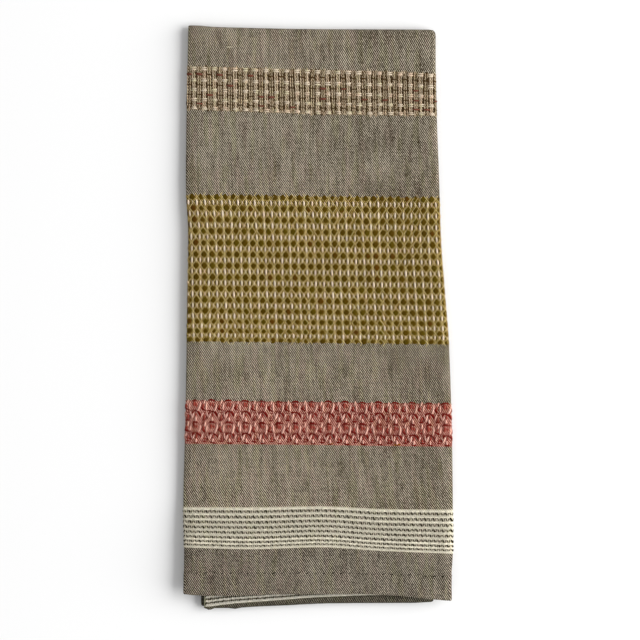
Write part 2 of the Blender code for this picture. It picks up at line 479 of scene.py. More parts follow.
    def place(self, u: np.ndarray, v: np.ndarray, lift: np.ndarray) -> np.ndarray:
        """Lays points of the flat cloth on the folded towel.

        Args:
            u: Places across the cloth.
            v: Places along it, from the front hem.
            lift: Heights above the middle of the cloth, on its right side.

        Returns:
            The points, a row each.
        """
        x = np.interp(u, *np.array(self.rough_places).T)
        for _ in range(self.rounds):
            y, top_turn, bottom_turn, under = self.run(v, x)
            x, depth = self.section_point(u, lift, y, under)
        y, top_turn, bottom_turn, under = self.run(v, x)
        rise = self.rise(x, y)
        lowest = self.half_thickness
        top_reach = self.top_radius - depth
        bottom_reach = self.bottom_radius + depth
        in_top = (top_turn > 0) & (top_turn < np.pi)
        in_bottom = (bottom_turn > 0) & (bottom_turn < np.pi)
        z = np.select(
            [in_top, top_turn <= 0, in_bottom, bottom_turn >= np.pi],
            [
                lowest + self.top_radius + top_reach * np.cos(top_turn),
                lowest + 2 * self.top_radius - depth + rise,
                lowest + self.bottom_radius + self.pack_depth + bottom_reach * np.cos(bottom_turn),
                lowest + self.pack_depth - depth,
            ],
            lowest + depth + rise,
        )
        y = y + top_reach * np.sin(top_turn) - bottom_reach * np.sin(bottom_turn)
        return np.column_stack([x, y, z * self.unevenness(x, y)])


# ---------------------------------------------------------------------------------------------
# Node trees
# ---------------------------------------------------------------------------------------------


class NodeBoard:
    """A node tree being built: it places nodes, sets their inputs and joins them up."""

    def __init__(self, tree: bpy.types.NodeTree) -> None:
        """Starts on a tree that exists."""
        self.tree = tree

    @classmethod
    def group(
        cls, name: str, kind: Tree, inputs: dict[str, tuple[Socket, object]], outputs: dict[str, Socket]
    ) -> "NodeBoard":
        """Starts a node group with named inputs and outputs.

        Args:
            name: The group's name.
            kind: Whether it makes shapes or finishes.
            inputs: Each input's kind and first value.
            outputs: Each output's kind.

        Returns:
            The board that builds it.
        """
        board = cls(bpy.data.node_groups.new(name, kind.value))
        for title, (socket, value) in inputs.items():
            made = board.tree.interface.new_socket(name=title, in_out="INPUT", socket_type=socket.value)
            if value is not None:
                made.default_value = value
        for title, socket in outputs.items():
            board.tree.interface.new_socket(name=title, in_out="OUTPUT", socket_type=socket.value)
        board.given = board.put("NodeGroupInput")
        board.result = board.put("NodeGroupOutput")
        return board

    def put(
        self, kind: str, inputs: dict[int | str, Place] | None = None, **settings: object
    ) -> bpy.types.Node:
        """Places a node.

        Args:
            kind: Blender's name for it.
            inputs: What goes into its sockets: a value, a socket or a node's first output.
            settings: Its other settings.

        Returns:
            The node.
        """
        node = self.tree.nodes.new(kind)
        for name, value in settings.items():
            setattr(node, name, value)
        self.join(node, inputs or {})
        return node

    def join(self, node: bpy.types.Node, inputs: dict[int | str, Place]) -> None:
        """Sets or joins up a node's inputs.

        Args:
            node: The node.
            inputs: What goes into its sockets.
        """
        for key, value in inputs.items():
            if isinstance(value, bpy.types.Node):
                value = value.outputs[0]
            if isinstance(value, bpy.types.NodeSocket):
                self.tree.links.new(value, node.inputs[key])
            else:
                node.inputs[key].default_value = value

    def math(self, operation: str, *values: Place, clamp: bool = False) -> bpy.types.NodeSocket:
        """Works out a number from others and returns the socket that holds it."""
        node = self.put("ShaderNodeMath", dict(enumerate(values)), operation=operation, use_clamp=clamp)
        return node.outputs[0]

    def plus(self, first: Place, second: Place) -> bpy.types.NodeSocket:
        """Adds two numbers."""
        return self.math("ADD", first, second)

    def minus(self, first: Place, second: Place) -> bpy.types.NodeSocket:
        """Takes the second number from the first."""
        return self.math("SUBTRACT", first, second)

    def times(self, first: Place, second: Place, third: Place | None = None) -> bpy.types.NodeSocket:
        """Multiplies two numbers, and adds a third where there is one."""
        if third is None:
            return self.math("MULTIPLY", first, second)
        return self.math("MULTIPLY_ADD", first, second, third)

    def over(self, first: Place, second: Place) -> bpy.types.NodeSocket:
        """Divides the first number by the second."""
        return self.math("DIVIDE", first, second)

    def vector(self, x: Place = 0.0, y: Place = 0.0, z: Place = 0.0) -> bpy.types.NodeSocket:
        """Puts three numbers together as a vector."""
        return self.put("ShaderNodeCombineXYZ", {0: x, 1: y, 2: z}).outputs[0]

    def ease(self, value: Place, low: Place, high: Place) -> bpy.types.NodeSocket:
        """Eases from 0 to 1 as a value goes from low to high."""
        node = self.put("ShaderNodeMapRange", {0: value, 1: low, 2: high}, interpolation_type="SMOOTHSTEP")
        return node.outputs[0]

    def blend(self, share: Place, first: Place, second: Place, way: str = "MIX") -> bpy.types.NodeSocket:
        """Blends two colours."""
        settings = {"data_type": "RGBA", "blend_type": way}
        return self.put("ShaderNodeMix", {0: share, 6: first, 7: second}, **settings).outputs[2]

    def noise(self, vector: Place, scale: float, detail: float) -> bpy.types.NodeSocket:
        """Makes smooth noise over a flat map."""
        node = self.put(
            "ShaderNodeTexNoise", {"Vector": vector, "Scale": scale, "Detail": detail}, noise_dimensions="2D"
        )
        return node.outputs[0]

    def between(self, share: Place, first: Place, second: Place) -> bpy.types.NodeSocket:
        """Goes from one number to another."""
        return self.put("ShaderNodeMix", {0: share, 2: first, 3: second}, data_type="FLOAT").outputs[0]

    def dress(
        self, shader: bpy.types.Node, colour: Place, rough: Place, height: Place, bump: float, depth: float
    ) -> None:
        """Joins a finish up to its shader.

        Args:
            shader: The shader.
            colour: Its colour.
            rough: Its roughness.
            height: Its relief.
            bump: How strong the relief is.
            depth: How deep the relief is.
        """
        normal = self.put("ShaderNodeBump", {"Strength": bump, "Distance": depth, "Height": height})
        self.join(shader, {"Base Color": colour, "Roughness": rough, "Normal": normal})
        shader.inputs["Specular IOR Level"].default_value = GLOSS

    def use(self, group: bpy.types.NodeTree, inputs: dict[int | str, Place]) -> bpy.types.Node:
        """Places a node group.

        Args:
            group: The group.
            inputs: What goes into it.

        Returns:
            Its node.
        """
        kind = "GeometryNodeGroup" if group.bl_idname == Tree.GEOMETRY.value else "ShaderNodeGroup"
        node = self.put(kind, node_tree=group)
        self.join(node, inputs)
        return node


def start_finish(name: str) -> tuple[bpy.types.Material, NodeBoard, bpy.types.Node]:
    """Starts a material.

    Args:
        name: Its name.

    Returns:
        The material, the board for its nodes, and its shader.
    """
    material = bpy.data.materials.new(name)
    material.use_nodes = True
    return material, NodeBoard(material.node_tree), material.node_tree.nodes["Principled BSDF"]


def put_down(name: str, data: bpy.types.ID) -> bpy.types.Object:
    """Makes an object and links it to the scene.

    Args:
        name: Its name.
        data: Its mesh, camera or light.

    Returns:
        The object.
    """
    made = bpy.data.objects.new(name, data)
    bpy.context.scene.collection.objects.link(made)
    return made


def corner_points(mesh: bpy.types.Mesh) -> np.ndarray:
    """Lists the point at each corner of a mesh's faces.

    Args:
        mesh: The mesh.

    Returns:
        The points' numbers.
    """
    corners = np.empty(len(mesh.loops), int)
    mesh.loops.foreach_get("vertex_index", corners)
    return corners


def add_map(mesh: bpy.types.Mesh, name: str, places: np.ndarray) -> None:
    """Gives a mesh a UV map, with a place for each corner of its faces."""
    mesh.uv_layers.new(name=name).data.foreach_set("uv", places.astype(np.float32).ravel())


# ---------------------------------------------------------------------------------------------
# Finishes
# ---------------------------------------------------------------------------------------------


# The twill: how far the ends wander, in ends, and over how fine a grain; the ends in its repeat;
# how deep the rows between picks are; how much chance changes a dot; where the dots' edge lies at
# no cover and at full cover; and how soft it is.
WANDER, WANDER_GRAIN = 0.9, 420.0
ENDS_IN_TWILL = 3.0
ROW_DEPTH = 0.35
DOT_CHANCE = 0.5
DOT_EDGES = (1.2, -0.6)
DOT_SOFTNESS = 0.25


def twill_group() -> bpy.types.NodeTree:
    """Builds the weave's shader group: a pale weft dot over each third end, stepping one end a pick.

    Returns:
        The group, which takes the threads' numbers and gives the dots, the height and the tone
        of each end, pick and dot.
    """
    board = NodeBoard.group(
        "twill",
        Tree.SHADER,
        {
            "Cloth": (Socket.VECTOR, (0, 0, 0)),
            "Threads": (Socket.VECTOR, (0, 0, 0)),
            "Cover": (Socket.NUMBER, 0.3),
        },
        dict.fromkeys(("Dot", "Height", "Chance", "Tone"), Socket.NUMBER),
    )
    cloth = board.given.outputs["Cloth"]
    place = board.put("ShaderNodeSeparateXYZ", {0: board.given.outputs["Threads"]})
    wander = board.times(board.noise(cloth, WANDER_GRAIN, 2.0), WANDER, -WANDER / 2)
    end = board.plus(place.outputs[0], wander)
    pick = place.outputs[1]
    twill_place = board.over(board.plus(end, pick), ENDS_IN_TWILL)
    ridge = board.math("COSINE", board.times(twill_place, 2 * math.pi))
    rows = board.math("COSINE", board.times(pick, 2 * math.pi))
    number = board.vector(board.math("ROUND", twill_place), board.math("ROUND", pick))
    chance = board.put("ShaderNodeTexWhiteNoise", {"Vector": number}, noise_dimensions="2D")
    threads = [board.math("ROUND", thread) for thread in place.outputs[:2]]
    tones = [board.put("ShaderNodeTexWhiteNoise", {"W": thread}, noise_dimensions="1D") for thread in threads]
    level = board.times(rows, ROW_DEPTH, ridge)
    level = board.times(chance.outputs[0], DOT_CHANCE, board.minus(level, DOT_CHANCE / 2))
    edge = board.between(board.given.outputs["Cover"], *DOT_EDGES)
    dot = board.ease(board.minus(level, edge), -DOT_SOFTNESS, DOT_SOFTNESS)
    tone = board.between(0.5, *tones)
    board.join(
        board.result,
        {"Dot": dot, "Height": board.times(level, 0.5), "Chance": chance.outputs[0], "Tone": tone},
    )
    return board.tree


def band_mask_group() -> bpy.types.NodeTree:
    """Builds the group that is 1 inside a band of the cloth and 0 outside it.

    Returns:
        The group.
    """
    board = NodeBoard.group(
        "band_mask",
        Tree.SHADER,
        {
            "Along": (Socket.NUMBER, 0.0),
            "Low": (Socket.NUMBER, 0.0),
            "High": (Socket.NUMBER, 0.1),
            "Softness": (Socket.NUMBER, 0.4 * MM),
        },
        {"Mask": Socket.NUMBER},
    )
    given = board.given.outputs
    halves = []
    for bound in ("Low", "High"):
        start = board.minus(given[bound], given["Softness"])
        end = board.plus(given[bound], given["Softness"])
        halves.append(board.ease(given["Along"], start, end))
    board.join(board.result, {"Mask": board.math("SUBTRACT", halves[0], halves[1], clamp=True)})
    return board.tree


# The unevenness of the yarn. Columns: its grain across and along the cloth, its shift, its detail.
YARN_GRAINS = {
    "Streaks": (1.1 * MM, 19 * MM, 3.0, 2.0),
    "Slubs": (9 * MM, 1.2 * MM, 29.0, 2.0),
    "Patches": (3.4 * MM, 22 * MM, 7.0, 1.0),
    "Clouds": (14 * MM, 30 * MM, 41.0, 1.0),
    "Green": (4 * MM, 26 * MM, 11.0, 1.0),
    "Purple": (5 * MM, 22 * MM, 19.0, 1.0),
}


def streak_group() -> bpy.types.NodeTree:
    """Builds the group for uneven yarn: long streaks along the warp, short slubs and softer patches.

    Returns:
        The group, which gives a number for each kind of unevenness, two of them for the hue.
    """
    board = NodeBoard.group(
        "uneven_yarn",
        Tree.SHADER,
        {"Cloth": (Socket.VECTOR, (0, 0, 0))},
        dict.fromkeys(YARN_GRAINS, Socket.NUMBER),
    )

    def noise(across: float, along: float, shift: float, detail: float) -> bpy.types.NodeSocket:
        """Uneven values with the given grain across and along the cloth, in metres."""
        scale = (1 / across, 1 / along, 1)
        cloth = board.given.outputs["Cloth"]
        mapped = board.put(
            "ShaderNodeMapping", {"Vector": cloth, "Location": (shift, shift * 2, 0), "Scale": scale}
        )
        return board.noise(mapped, 1.0, detail)

    board.join(board.result, {title: noise(*grain) for title, grain in YARN_GRAINS.items()})
    return board.tree


# A raised yarn: how fine its fuzz and its patches of hue are, how high its ridges stand beside the
# fuzz, and where a patch starts and is full.
FUZZ_GRAIN, HUE_GRAIN = 620.0, 190.0
RIDGE_HEIGHT = 0.4
HUE_EDGES = (0.54, 0.70)


def yarn_twist_group() -> bpy.types.NodeTree:
    """Builds the group for a raised yarn: the ridges of its twist, and its fuzz.

    Returns:
        The group, which gives the height, the fuzz and two numbers for the hue.
    """
    board = NodeBoard.group(
        "yarn_twist",
        Tree.SHADER,
        {"Cloth": (Socket.VECTOR, (0, 0, 0)), "Twist": (Socket.NUMBER, 0.5 * MM)},
        dict.fromkeys(("Height", "Fuzz", "Rosy", "Mossy"), Socket.NUMBER),
    )
    cloth = board.given.outputs["Cloth"]
    place = board.put("ShaderNodeSeparateXYZ", {0: cloth})
    slant = board.plus(place.outputs[0], place.outputs[1])
    turns = board.over(slant, board.given.outputs["Twist"])
    ridges = board.math("COSINE", board.times(turns, 2 * math.pi))
    fuzz = board.noise(cloth, FUZZ_GRAIN, 3.0)
    height = board.times(ridges, RIDGE_HEIGHT, fuzz)
    board.join(board.result, {"Height": height, "Fuzz": fuzz})
    for title, shift in (("Rosy", 3.0), ("Mossy", 8.0)):
        moved = board.put("ShaderNodeVectorMath", {0: cloth, 1: (shift, shift, 0.0)}, operation="ADD")
        board.join(board.result, {title: board.ease(board.noise(moved, HUE_GRAIN, 1.0), *HUE_EDGES)})
    return board.tree


@dataclass(frozen=True)
class BandGround:
    """The flat ground of one woven band, under its raised yarns."""

    name: str
    low: float
    high: float
    warp: Colour
    weft: Colour
    cover: float
    unevenness: float = 1.0
    # How much of the painted shade towards the right side fold the band takes.
    fade: float = 1.0


@dataclass(frozen=True)
class ClothFinish:
    """The twill of the whole cloth: dark mixed warp, pale weft, and the bands' own yarns."""

    name: str = "woven_cloth"
    warp: Colour = (0.031, 0.022, 0.010, 1)
    weft: Colour = (0.68, 0.605, 0.480, 1)
    dull_weft: Colour = (0.30, 0.245, 0.17, 1)
    cover: float = 0.335
    # Between the dots, and on them.
    roughness: tuple[float, float] = (0.96, 0.78)
    bump: float = 0.35
    bump_depth: float = 0.12 * MM
    bands: tuple[BandGround, ...] = (
        # The plain cloth from the hem to the white stripes is darker; there the painted shade towards the right
        # side fold runs the other way, a quarter as strong.
        BandGround(
            "darker_hem_end", -9 * MM, 30.1 * MM, (0.017, 0.012, 0.006, 1), (0.65, 0.575, 0.46, 1), 0.272,
            unevenness=0.62, fade=-0.25,
        ),
        BandGround("white", 30.1 * MM, 56.5 * MM, (0.52, 0.47, 0.355, 1), (0.76, 0.70, 0.56, 1), 0.86),
        BandGround("red", 96.2 * MM, 124.2 * MM, (0.112, 0.017, 0.010, 1), (1.0, 0.49, 0.39, 1), 0.36),
        BandGround("mustard", 162.8 * MM, 257.6 * MM, (0.090, 0.056, 0.005, 1), (0.69, 0.490, 0.150, 1), 0.345),
        BandGround("basket", 311.2 * MM, 340.2 * MM, (0.080, 0.052, 0.022, 1), (0.68, 0.545, 0.385, 1), 0.36),
    )
    # How much the unevenness of the yarn changes the share of weft that shows.
    streaks: float = 0.40
    slubs: float = 0.07
    patches: float = 0.24
    clouds: float = 0.22
    # Painted shade: the cloth is a little darker towards the right side fold, from one u to the other.
    fade: float = 0.078
    right_shade_from: float = 190 * MM
    right_shade_to: float = 300 * MM
    # The end that is turned under, and the side fold beside it, lie in the shade of the front.
    shaded_from: float = 722 * MM
    shade: Colour = (0.47, 0.49, 0.465, 1)
    nook: tuple[float, float] = (120 * MM, 152 * MM)
    nook_shade: Colour = (0.12, 0.12, 0.12, 1)
    # How many dots are dull, how far the threads differ in tone, and the hues that lie in patches.
    dull_share: float = 0.35
    tones: tuple[float, float] = (0.88, 1.12)
    hue_edges: tuple[float, float] = (0.50, 0.68)
    green: Colour = (0.975, 1.0, 0.90, 1)
    purple: Colour = (1.0, 0.95, 0.97, 1)
    length: float = 767 * MM

    def make(self) -> bpy.types.Material:
        """Builds the material.

        Returns:
            The material.
        """
        material, board, shader = start_finish(self.name)
        cloth = board.put("ShaderNodeUVMap", uv_map=CLOTH_UV)
        threads = board.put("ShaderNodeUVMap", uv_map=THREADS_UV)
        place = board.put("ShaderNodeSeparateXYZ", {0: cloth})
        along = board.math("MINIMUM", place.outputs[1], board.minus(self.length, place.outputs[1]))
        uneven = board.use(streak_group(), {"Cloth": cloth})
        masks = band_mask_group()
        warp, weft, cover, share, right_shade_share = self.warp, self.weft, self.cover, 1.0, 1.0
        for band in self.bands:
            mask = board.use(masks, {"Along": along, "Low": band.low, "High": band.high})
            warp = board.blend(mask, warp, band.warp)
            weft = board.blend(mask, weft, band.weft)
            cover = board.between(mask, cover, band.cover)
            share = board.between(mask, share, band.unevenness)
            right_shade_share = board.between(mask, right_shade_share, band.fade)
        for title, amount in (
            ("Streaks", self.streaks), ("Slubs", self.slubs),
            ("Patches", self.patches), ("Clouds", self.clouds),
        ):
            step = board.times(uneven.outputs[title], amount, -amount / 2)
            cover = board.times(step, share, cover)
        # Painted shade: less weft shows towards the right side fold.
        fade = board.ease(place.outputs[0], self.right_shade_from, self.right_shade_to)
        fade = board.times(fade, right_shade_share)
        cover = board.minus(cover, board.times(fade, self.fade))
        weave = bpy.data.node_groups.get("twill") or twill_group()
        twill = board.use(weave, {"Cloth": cloth, "Threads": threads, "Cover": cover})
        dull = board.times(twill.outputs["Chance"], self.dull_share)
        weft = board.blend(dull, weft, self.dull_weft)
        colour = board.blend(twill.outputs["Dot"], warp, weft)
        tone = board.between(twill.outputs["Tone"], *self.tones)
        colour = board.blend(1.0, colour, board.vector(tone, tone, tone), "MULTIPLY")
        for title, hue in (("Green", self.green), ("Purple", self.purple)):
            patches = board.ease(uneven.outputs[title], *self.hue_edges)
            colour = board.blend(patches, colour, hue, "MULTIPLY")
        turned_under = board.ease(place.outputs[1], self.shaded_from - 5 * MM, self.shaded_from)
        colour = board.blend(turned_under, colour, self.shade, "MULTIPLY")
        nook = board.use(masks, {"Along": place.outputs[0], "Low": self.nook[0], "High": self.nook[1]})
        nook = board.times(nook, turned_under)
        colour = board.blend(nook, colour, self.nook_shade, "MULTIPLY")
        rough = board.between(twill.outputs["Dot"], *self.roughness)
        board.dress(shader, colour, rough, twill.outputs["Height"], self.bump, self.bump_depth)
        return material


@dataclass(frozen=True)
class YarnFinish:
    """One colour of raised yarn.

    Where the yarn is worn it is darker by the factor dark, and mottle says how much it wears.
    Bound is the depth of the dots where picks bind it, and tint that of its patches of hue.
    """

    name: str
    colour: Colour
    dark: float = 0.72
    bound: float = 0.0
    mottle: float = 0.7
    least_worn: float = 0.15
    tint: float = 0.5
    rosy: Colour = (1.0, 0.90, 0.86, 1)
    mossy: Colour = (0.95, 1.0, 0.88, 1)
    roughness: tuple[float, float] = (0.75, 0.95)
    bump: float = 0.3
    bump_depth: float = 0.06 * MM

    def make(self) -> bpy.types.Material:
        """Builds the material.

        Returns:
            The material.
        """
        material, board, shader = start_finish(self.name)
        cloth = board.put("ShaderNodeUVMap", uv_map=CLOTH_UV)
        shade = board.put("ShaderNodeAttribute", attribute_name=SHADE)
        group = bpy.data.node_groups.get("yarn_twist") or yarn_twist_group()
        twist = board.use(group, {"Cloth": cloth})
        deep = tuple(channel * self.dark for channel in self.colour[:3]) + (1,)
        own = board.minus(shade.outputs["Fac"], 1.0)
        worn = board.times(twist.outputs["Fuzz"], 2.0, own)
        worn = board.math("MULTIPLY_ADD", worn, self.mottle, self.least_worn, clamp=True)
        colour = board.blend(worn, self.colour, deep)
        for title, hue in (("Rosy", self.rosy), ("Mossy", self.mossy)):
            colour = board.blend(board.times(twist.outputs[title], self.tint), colour, hue, "MULTIPLY")
        # The picks that bind the float show on it as darker dots.
        threads = board.put("ShaderNodeUVMap", uv_map=THREADS_UV)
        twill = bpy.data.node_groups.get("twill") or twill_group()
        binding = board.use(twill, {"Cloth": cloth, "Threads": threads, "Cover": BINDING_COVER})
        bound = board.times(board.minus(1.0, binding.outputs["Dot"]), self.bound)
        colour = board.blend(bound, colour, (0, 0, 0, 1))
        rough = board.between(twist.outputs["Fuzz"], *self.roughness)
        board.dress(shader, colour, rough, twist.outputs["Height"], self.bump, self.bump_depth)
        return material


class Yarn(Enum):
    """The colours of raised yarn."""

    CREAM = YarnFinish("cream_yarn", (0.90, 0.84, 0.67, 1), 0.62, bound=0.2, mottle=1.4, tint=0.25)
    SHADED_CREAM = YarnFinish("shaded_cream_yarn", (0.84, 0.79, 0.67, 1), 0.6, bound=0.2, mottle=1.4, tint=0.2)
    PALE = YarnFinish("pale_yarn", (0.95, 0.78, 0.60, 1), bound=0.45)
    OAT = YarnFinish("oat_yarn", (0.79, 0.665, 0.505, 1), 0.75, bound=0.3, tint=1.0)
    STRAW = YarnFinish("straw_yarn", (0.79, 0.635, 0.45, 1), 0.66, bound=0.45, tint=1.0)
    DULL = YarnFinish("dull_yarn", (0.72, 0.575, 0.39, 1), 0.66, bound=0.45, tint=1.0)
    BROWN = YarnFinish("brown_yarn", (0.072, 0.041, 0.014, 1))
    DEEP = YarnFinish("deep_brown_yarn", (0.044, 0.024, 0.008, 1))
    FLOAT_SHADOW = YarnFinish("dark_warp_yarn", (0.024, 0.018, 0.008, 1))
    YELLOW = YarnFinish("yellow_yarn", (0.88, 0.70, 0.29, 1), bound=0.55)
    OLIVE = YarnFinish("olive_yarn", (0.100, 0.056, 0.002, 1), 0.75, bound=0.4)
    RUST = YarnFinish("rust_yarn", (0.116, 0.050, 0.003, 1), 0.75, bound=0.4)
    GREEN = YarnFinish("moss_yarn", (0.110, 0.070, 0.003, 1), 0.75, bound=0.4)
    CRIMSON = YarnFinish("crimson_yarn", (0.205, 0.012, 0.008, 1), bound=0.5)
    ROSE = YarnFinish("rose_yarn", (0.44, 0.078, 0.056, 1), bound=0.65)
    ORANGE = YarnFinish("orange_yarn", (0.30, 0.10, 0.010, 1), bound=0.3)
    PINK = YarnFinish("pink_yarn", (0.93, 0.52, 0.42, 1), bound=0.5)
    CLAY = YarnFinish("clay_yarn", (0.20, 0.072, 0.045, 1), bound=0.35)
    STITCH = YarnFinish("hem_thread", (0.035, 0.028, 0.020, 1))


# ---------------------------------------------------------------------------------------------
# Raised yarns
# ---------------------------------------------------------------------------------------------


@dataclass(frozen=True)
class Float:
    """One float of yarn in a band's repeat.

    Places are in repeats across and in rows along; lengths are in metres; turn is in degrees
    from straight along the cloth, clockwise.
    """

    yarn: Yarn
    across: float
    row: float
    length: float
    width: float
    turn: float = 0.0
    bow: float = 0.0
    arch: float = 0.10 * MM
    base: float = 0.50 * MM
    flat: float = 0.6
    taper: float = 0.85
    swing: float = 0.0
    waves: float = 0.0
    phase: float = 0.0
    sharp: float = 0.0
    points: int = 6
    sides: int = 5
    jitter: float = 1.0
    rise: float = 0.0
    every: int = 0
    share: float = 1.0
    single_row: bool = False
    running: bool = False


# A float's own inputs, each with a first value. Float's fields have the same names.
FLOAT_INPUTS = {
    "Length": 4 * MM, "Width": 0.5 * MM, "Flat": 0.6, "Bow": 0.0, "Arch": 0.1 * MM, "Taper": 0.85,
    "Swing": 0.0, "Waves": 0.0, "Phase": 0.0, "Sharp": 0.0, "Points": 6, "Sides": 5,
}
# The arcsine of a little less than the whole wave, so that its points stay clean.
WAVE_SHARE = 0.998
# How a float thins towards its ends, as a power.
TAPER_POWER = 2.5


def yarn_float_group() -> bpy.types.NodeTree:
    """Builds the Geometry Nodes group for one float: a yarn that lies along +Y, bowed or waving.

    Returns:
        The group.
    """
    inputs = {
        title: (Socket.COUNT if isinstance(value, int) else Socket.NUMBER, value)
        for title, value in FLOAT_INPUTS.items()
    }
    board = NodeBoard.group("yarn_float", Tree.GEOMETRY, inputs, {"Mesh": Socket.GEOMETRY})
    given = board.given.outputs
    half = board.times(given["Length"], 0.5)
    line = board.put(
        "GeometryNodeCurvePrimitiveLine",
        {"Start": board.vector(0.0, board.times(half, -1.0)), "End": board.vector(0.0, half)},
    )
    line = board.put("GeometryNodeResampleCurve", {"Curve": line, "Count": given["Points"]})
    along = board.put("GeometryNodeSplineParameter").outputs["Factor"]
    off_middle = board.math("ABSOLUTE", board.times(along, 2.0, -1.0))
    hump = board.minus(1.0, board.times(off_middle, off_middle))
    turns = board.times(board.times(along, given["Waves"]), 2 * math.pi, given["Phase"])
    wave = board.math("COSINE", turns)
    # The arcsine of the wave turns it into straight slants.
    slants = board.math("ARCSINE", board.times(wave, WAVE_SHARE))
    slants = board.over(slants, math.asin(WAVE_SHARE))
    sideways = board.times(board.between(given["Sharp"], wave, slants), given["Swing"])
    sideways = board.times(hump, given["Bow"], sideways)
    upwards = board.over(board.times(hump, given["Arch"]), given["Flat"])
    offset = board.vector(sideways, 0.0, upwards)
    line = board.put("GeometryNodeSetPosition", {"Geometry": line, "Offset": offset})
    thin = board.times(board.math("POWER", off_middle, TAPER_POWER), given["Taper"])
    ring = board.put(
        "GeometryNodeCurvePrimitiveCircle",
        {"Resolution": given["Sides"], "Radius": board.times(given["Width"], 0.5)},
    )
    tube = board.put(
        "GeometryNodeCurveToMesh",
        {"Curve": line, "Profile Curve": ring, "Scale": board.minus(1.0, thin), "Fill Caps": True},
    )
    flatter = board.vector(1.0, 1.0, given["Flat"])
    squeezed = board.put("GeometryNodeTransform", {"Geometry": tube, "Scale": flatter})
    board.join(board.result, {"Mesh": squeezed})
    return board.tree


# How far a float may lie from its place, lowest and highest, how far it may turn, in radians, and by
# what share its size may change.
SPREAD_LOW = (-0.09 * MM, -0.12 * MM, 0.0)
SPREAD_HIGH = (0.09 * MM, 0.12 * MM, 0.05 * MM)
SWAY = 0.09
SIZE_CHANGE = 0.12


def repeat_group() -> bpy.types.NodeTree:
    """Builds the Geometry Nodes group that repeats a float across and along a band.

    Returns:
        The group.
    """
    board = NodeBoard.group(
        "repeat_over_band",
        Tree.GEOMETRY,
        {
            "Float": (Socket.GEOMETRY, None),
            "Columns": (Socket.COUNT, 10),
            "Rows": (Socket.COUNT, 1),
            "Column pitch": (Socket.NUMBER, 5 * MM),
            "Row pitch": (Socket.NUMBER, 5 * MM),
            "First": (Socket.VECTOR, (0, 0, 0)),
            "Turn": (Socket.NUMBER, 0.0),
            "Jitter": (Socket.NUMBER, 1.0),
            "Share": (Socket.NUMBER, 1.0),
            "Seed": (Socket.COUNT, 0),
        },
        {"Floats": Socket.GEOMETRY},
    )
    given = board.given.outputs
    number = board.put("GeometryNodeInputIndex").outputs[0]
    row = board.math("FLOOR", board.over(number, given["Columns"]))
    column = board.minus(number, board.times(row, given["Columns"]))
    place = board.put(
        "ShaderNodeVectorMath",
        {
            0: board.vector(
                board.times(column, given["Column pitch"]), board.times(row, given["Row pitch"])
            ),
            1: given["First"],
        },
        operation="ADD",
    ).outputs[0]
    spread = board.put(
        "FunctionNodeRandomValue",
        {0: SPREAD_LOW, 1: SPREAD_HIGH, "Seed": given["Seed"]},
        data_type="FLOAT_VECTOR",
    ).outputs[0]
    spread = board.put("ShaderNodeVectorMath", {0: spread, 3: given["Jitter"]}, operation="SCALE").outputs[0]
    place = board.put("ShaderNodeVectorMath", {0: place, 1: spread}, operation="ADD").outputs[0]
    points = board.put(
        "GeometryNodePoints", {"Count": board.times(given["Columns"], given["Rows"]), "Position": place}
    )

    def random(low: float, high: float, shift: int) -> bpy.types.NodeSocket:
        """Gives each float a number of its own between two others."""
        seed = board.plus(given["Seed"], shift)
        node = board.put("FunctionNodeRandomValue", {2: low, 3: high, "Seed": seed}, data_type="FLOAT")
        return node.outputs[1]

    points = board.put(
        "GeometryNodeStoreNamedAttribute",
        {"Geometry": points, "Name": SHADE, "Value": random(0.0, 1.0, 5)},
        data_type="FLOAT",
        domain="POINT",
    )
    turn = board.times(random(-SWAY, SWAY, 9), given["Jitter"], given["Turn"])
    size = board.times(random(-SIZE_CHANGE, SIZE_CHANGE, 13), given["Jitter"], 1.0)
    kept = board.put(
        "FunctionNodeRandomValue",
        {"Probability": given["Share"], "Seed": board.plus(given["Seed"], 17)},
        data_type="BOOLEAN",
    )
    floats = board.put(
        "GeometryNodeInstanceOnPoints",
        {
            "Points": points,
            "Selection": kept.outputs[3],
            "Instance": given["Float"],
            "Rotation": board.vector(0.0, 0.0, turn),
            "Scale": board.vector(size, size, 1.0),
        },
    )
    board.join(board.result, {"Floats": floats})
    return board.tree


@dataclass(frozen=True)
class BandChart:
    """A woven band's repeat as it is charted, with its rows and columns on the cloth.

    Rows count up from the band's end nearest the hem. A row's place is its v on the front; on
    the under half the same rows lie end for end.
    """

    name: str
    floats: tuple[Float, ...]
    rows: tuple[float, ...]
    ends_in_repeat: float
    first_end: float
    rows_in_repeat: int = 1
    seed: int = 1

    @property
    def column_pitch(self) -> float:
        """The repeat's width."""
        return self.ends_in_repeat * END_PITCH

    @property
    def row_pitch(self) -> float:
        """The rows' usual distance."""
        return (self.rows[-1] - self.rows[0]) / (len(self.rows) - 1)

    def row_place(self, y: np.ndarray) -> np.ndarray:
        """Finds where a height on the chart lies along the cloth.

        Args:
            y: Heights on the chart, where the rows are evenly spaced from 0.

        Returns:
            The v there.
        """
        number = y / self.row_pitch
        last = len(self.rows) - 1
        inside = np.interp(number, range(last + 1), self.rows)
        return inside + (np.minimum(number, 0) + np.maximum(number - last, 0)) * self.row_pitch


# The under half's yarns are pressed flat: lifts past the first height shrink by the factor, and end
# at the last, so that the towel still rests on its cloth.
PRESSED_FROM = 0.40 * MM
PRESSED = 0.25
PRESSED_TO = 0.49 * MM
BAKE_MARGIN = 0.005


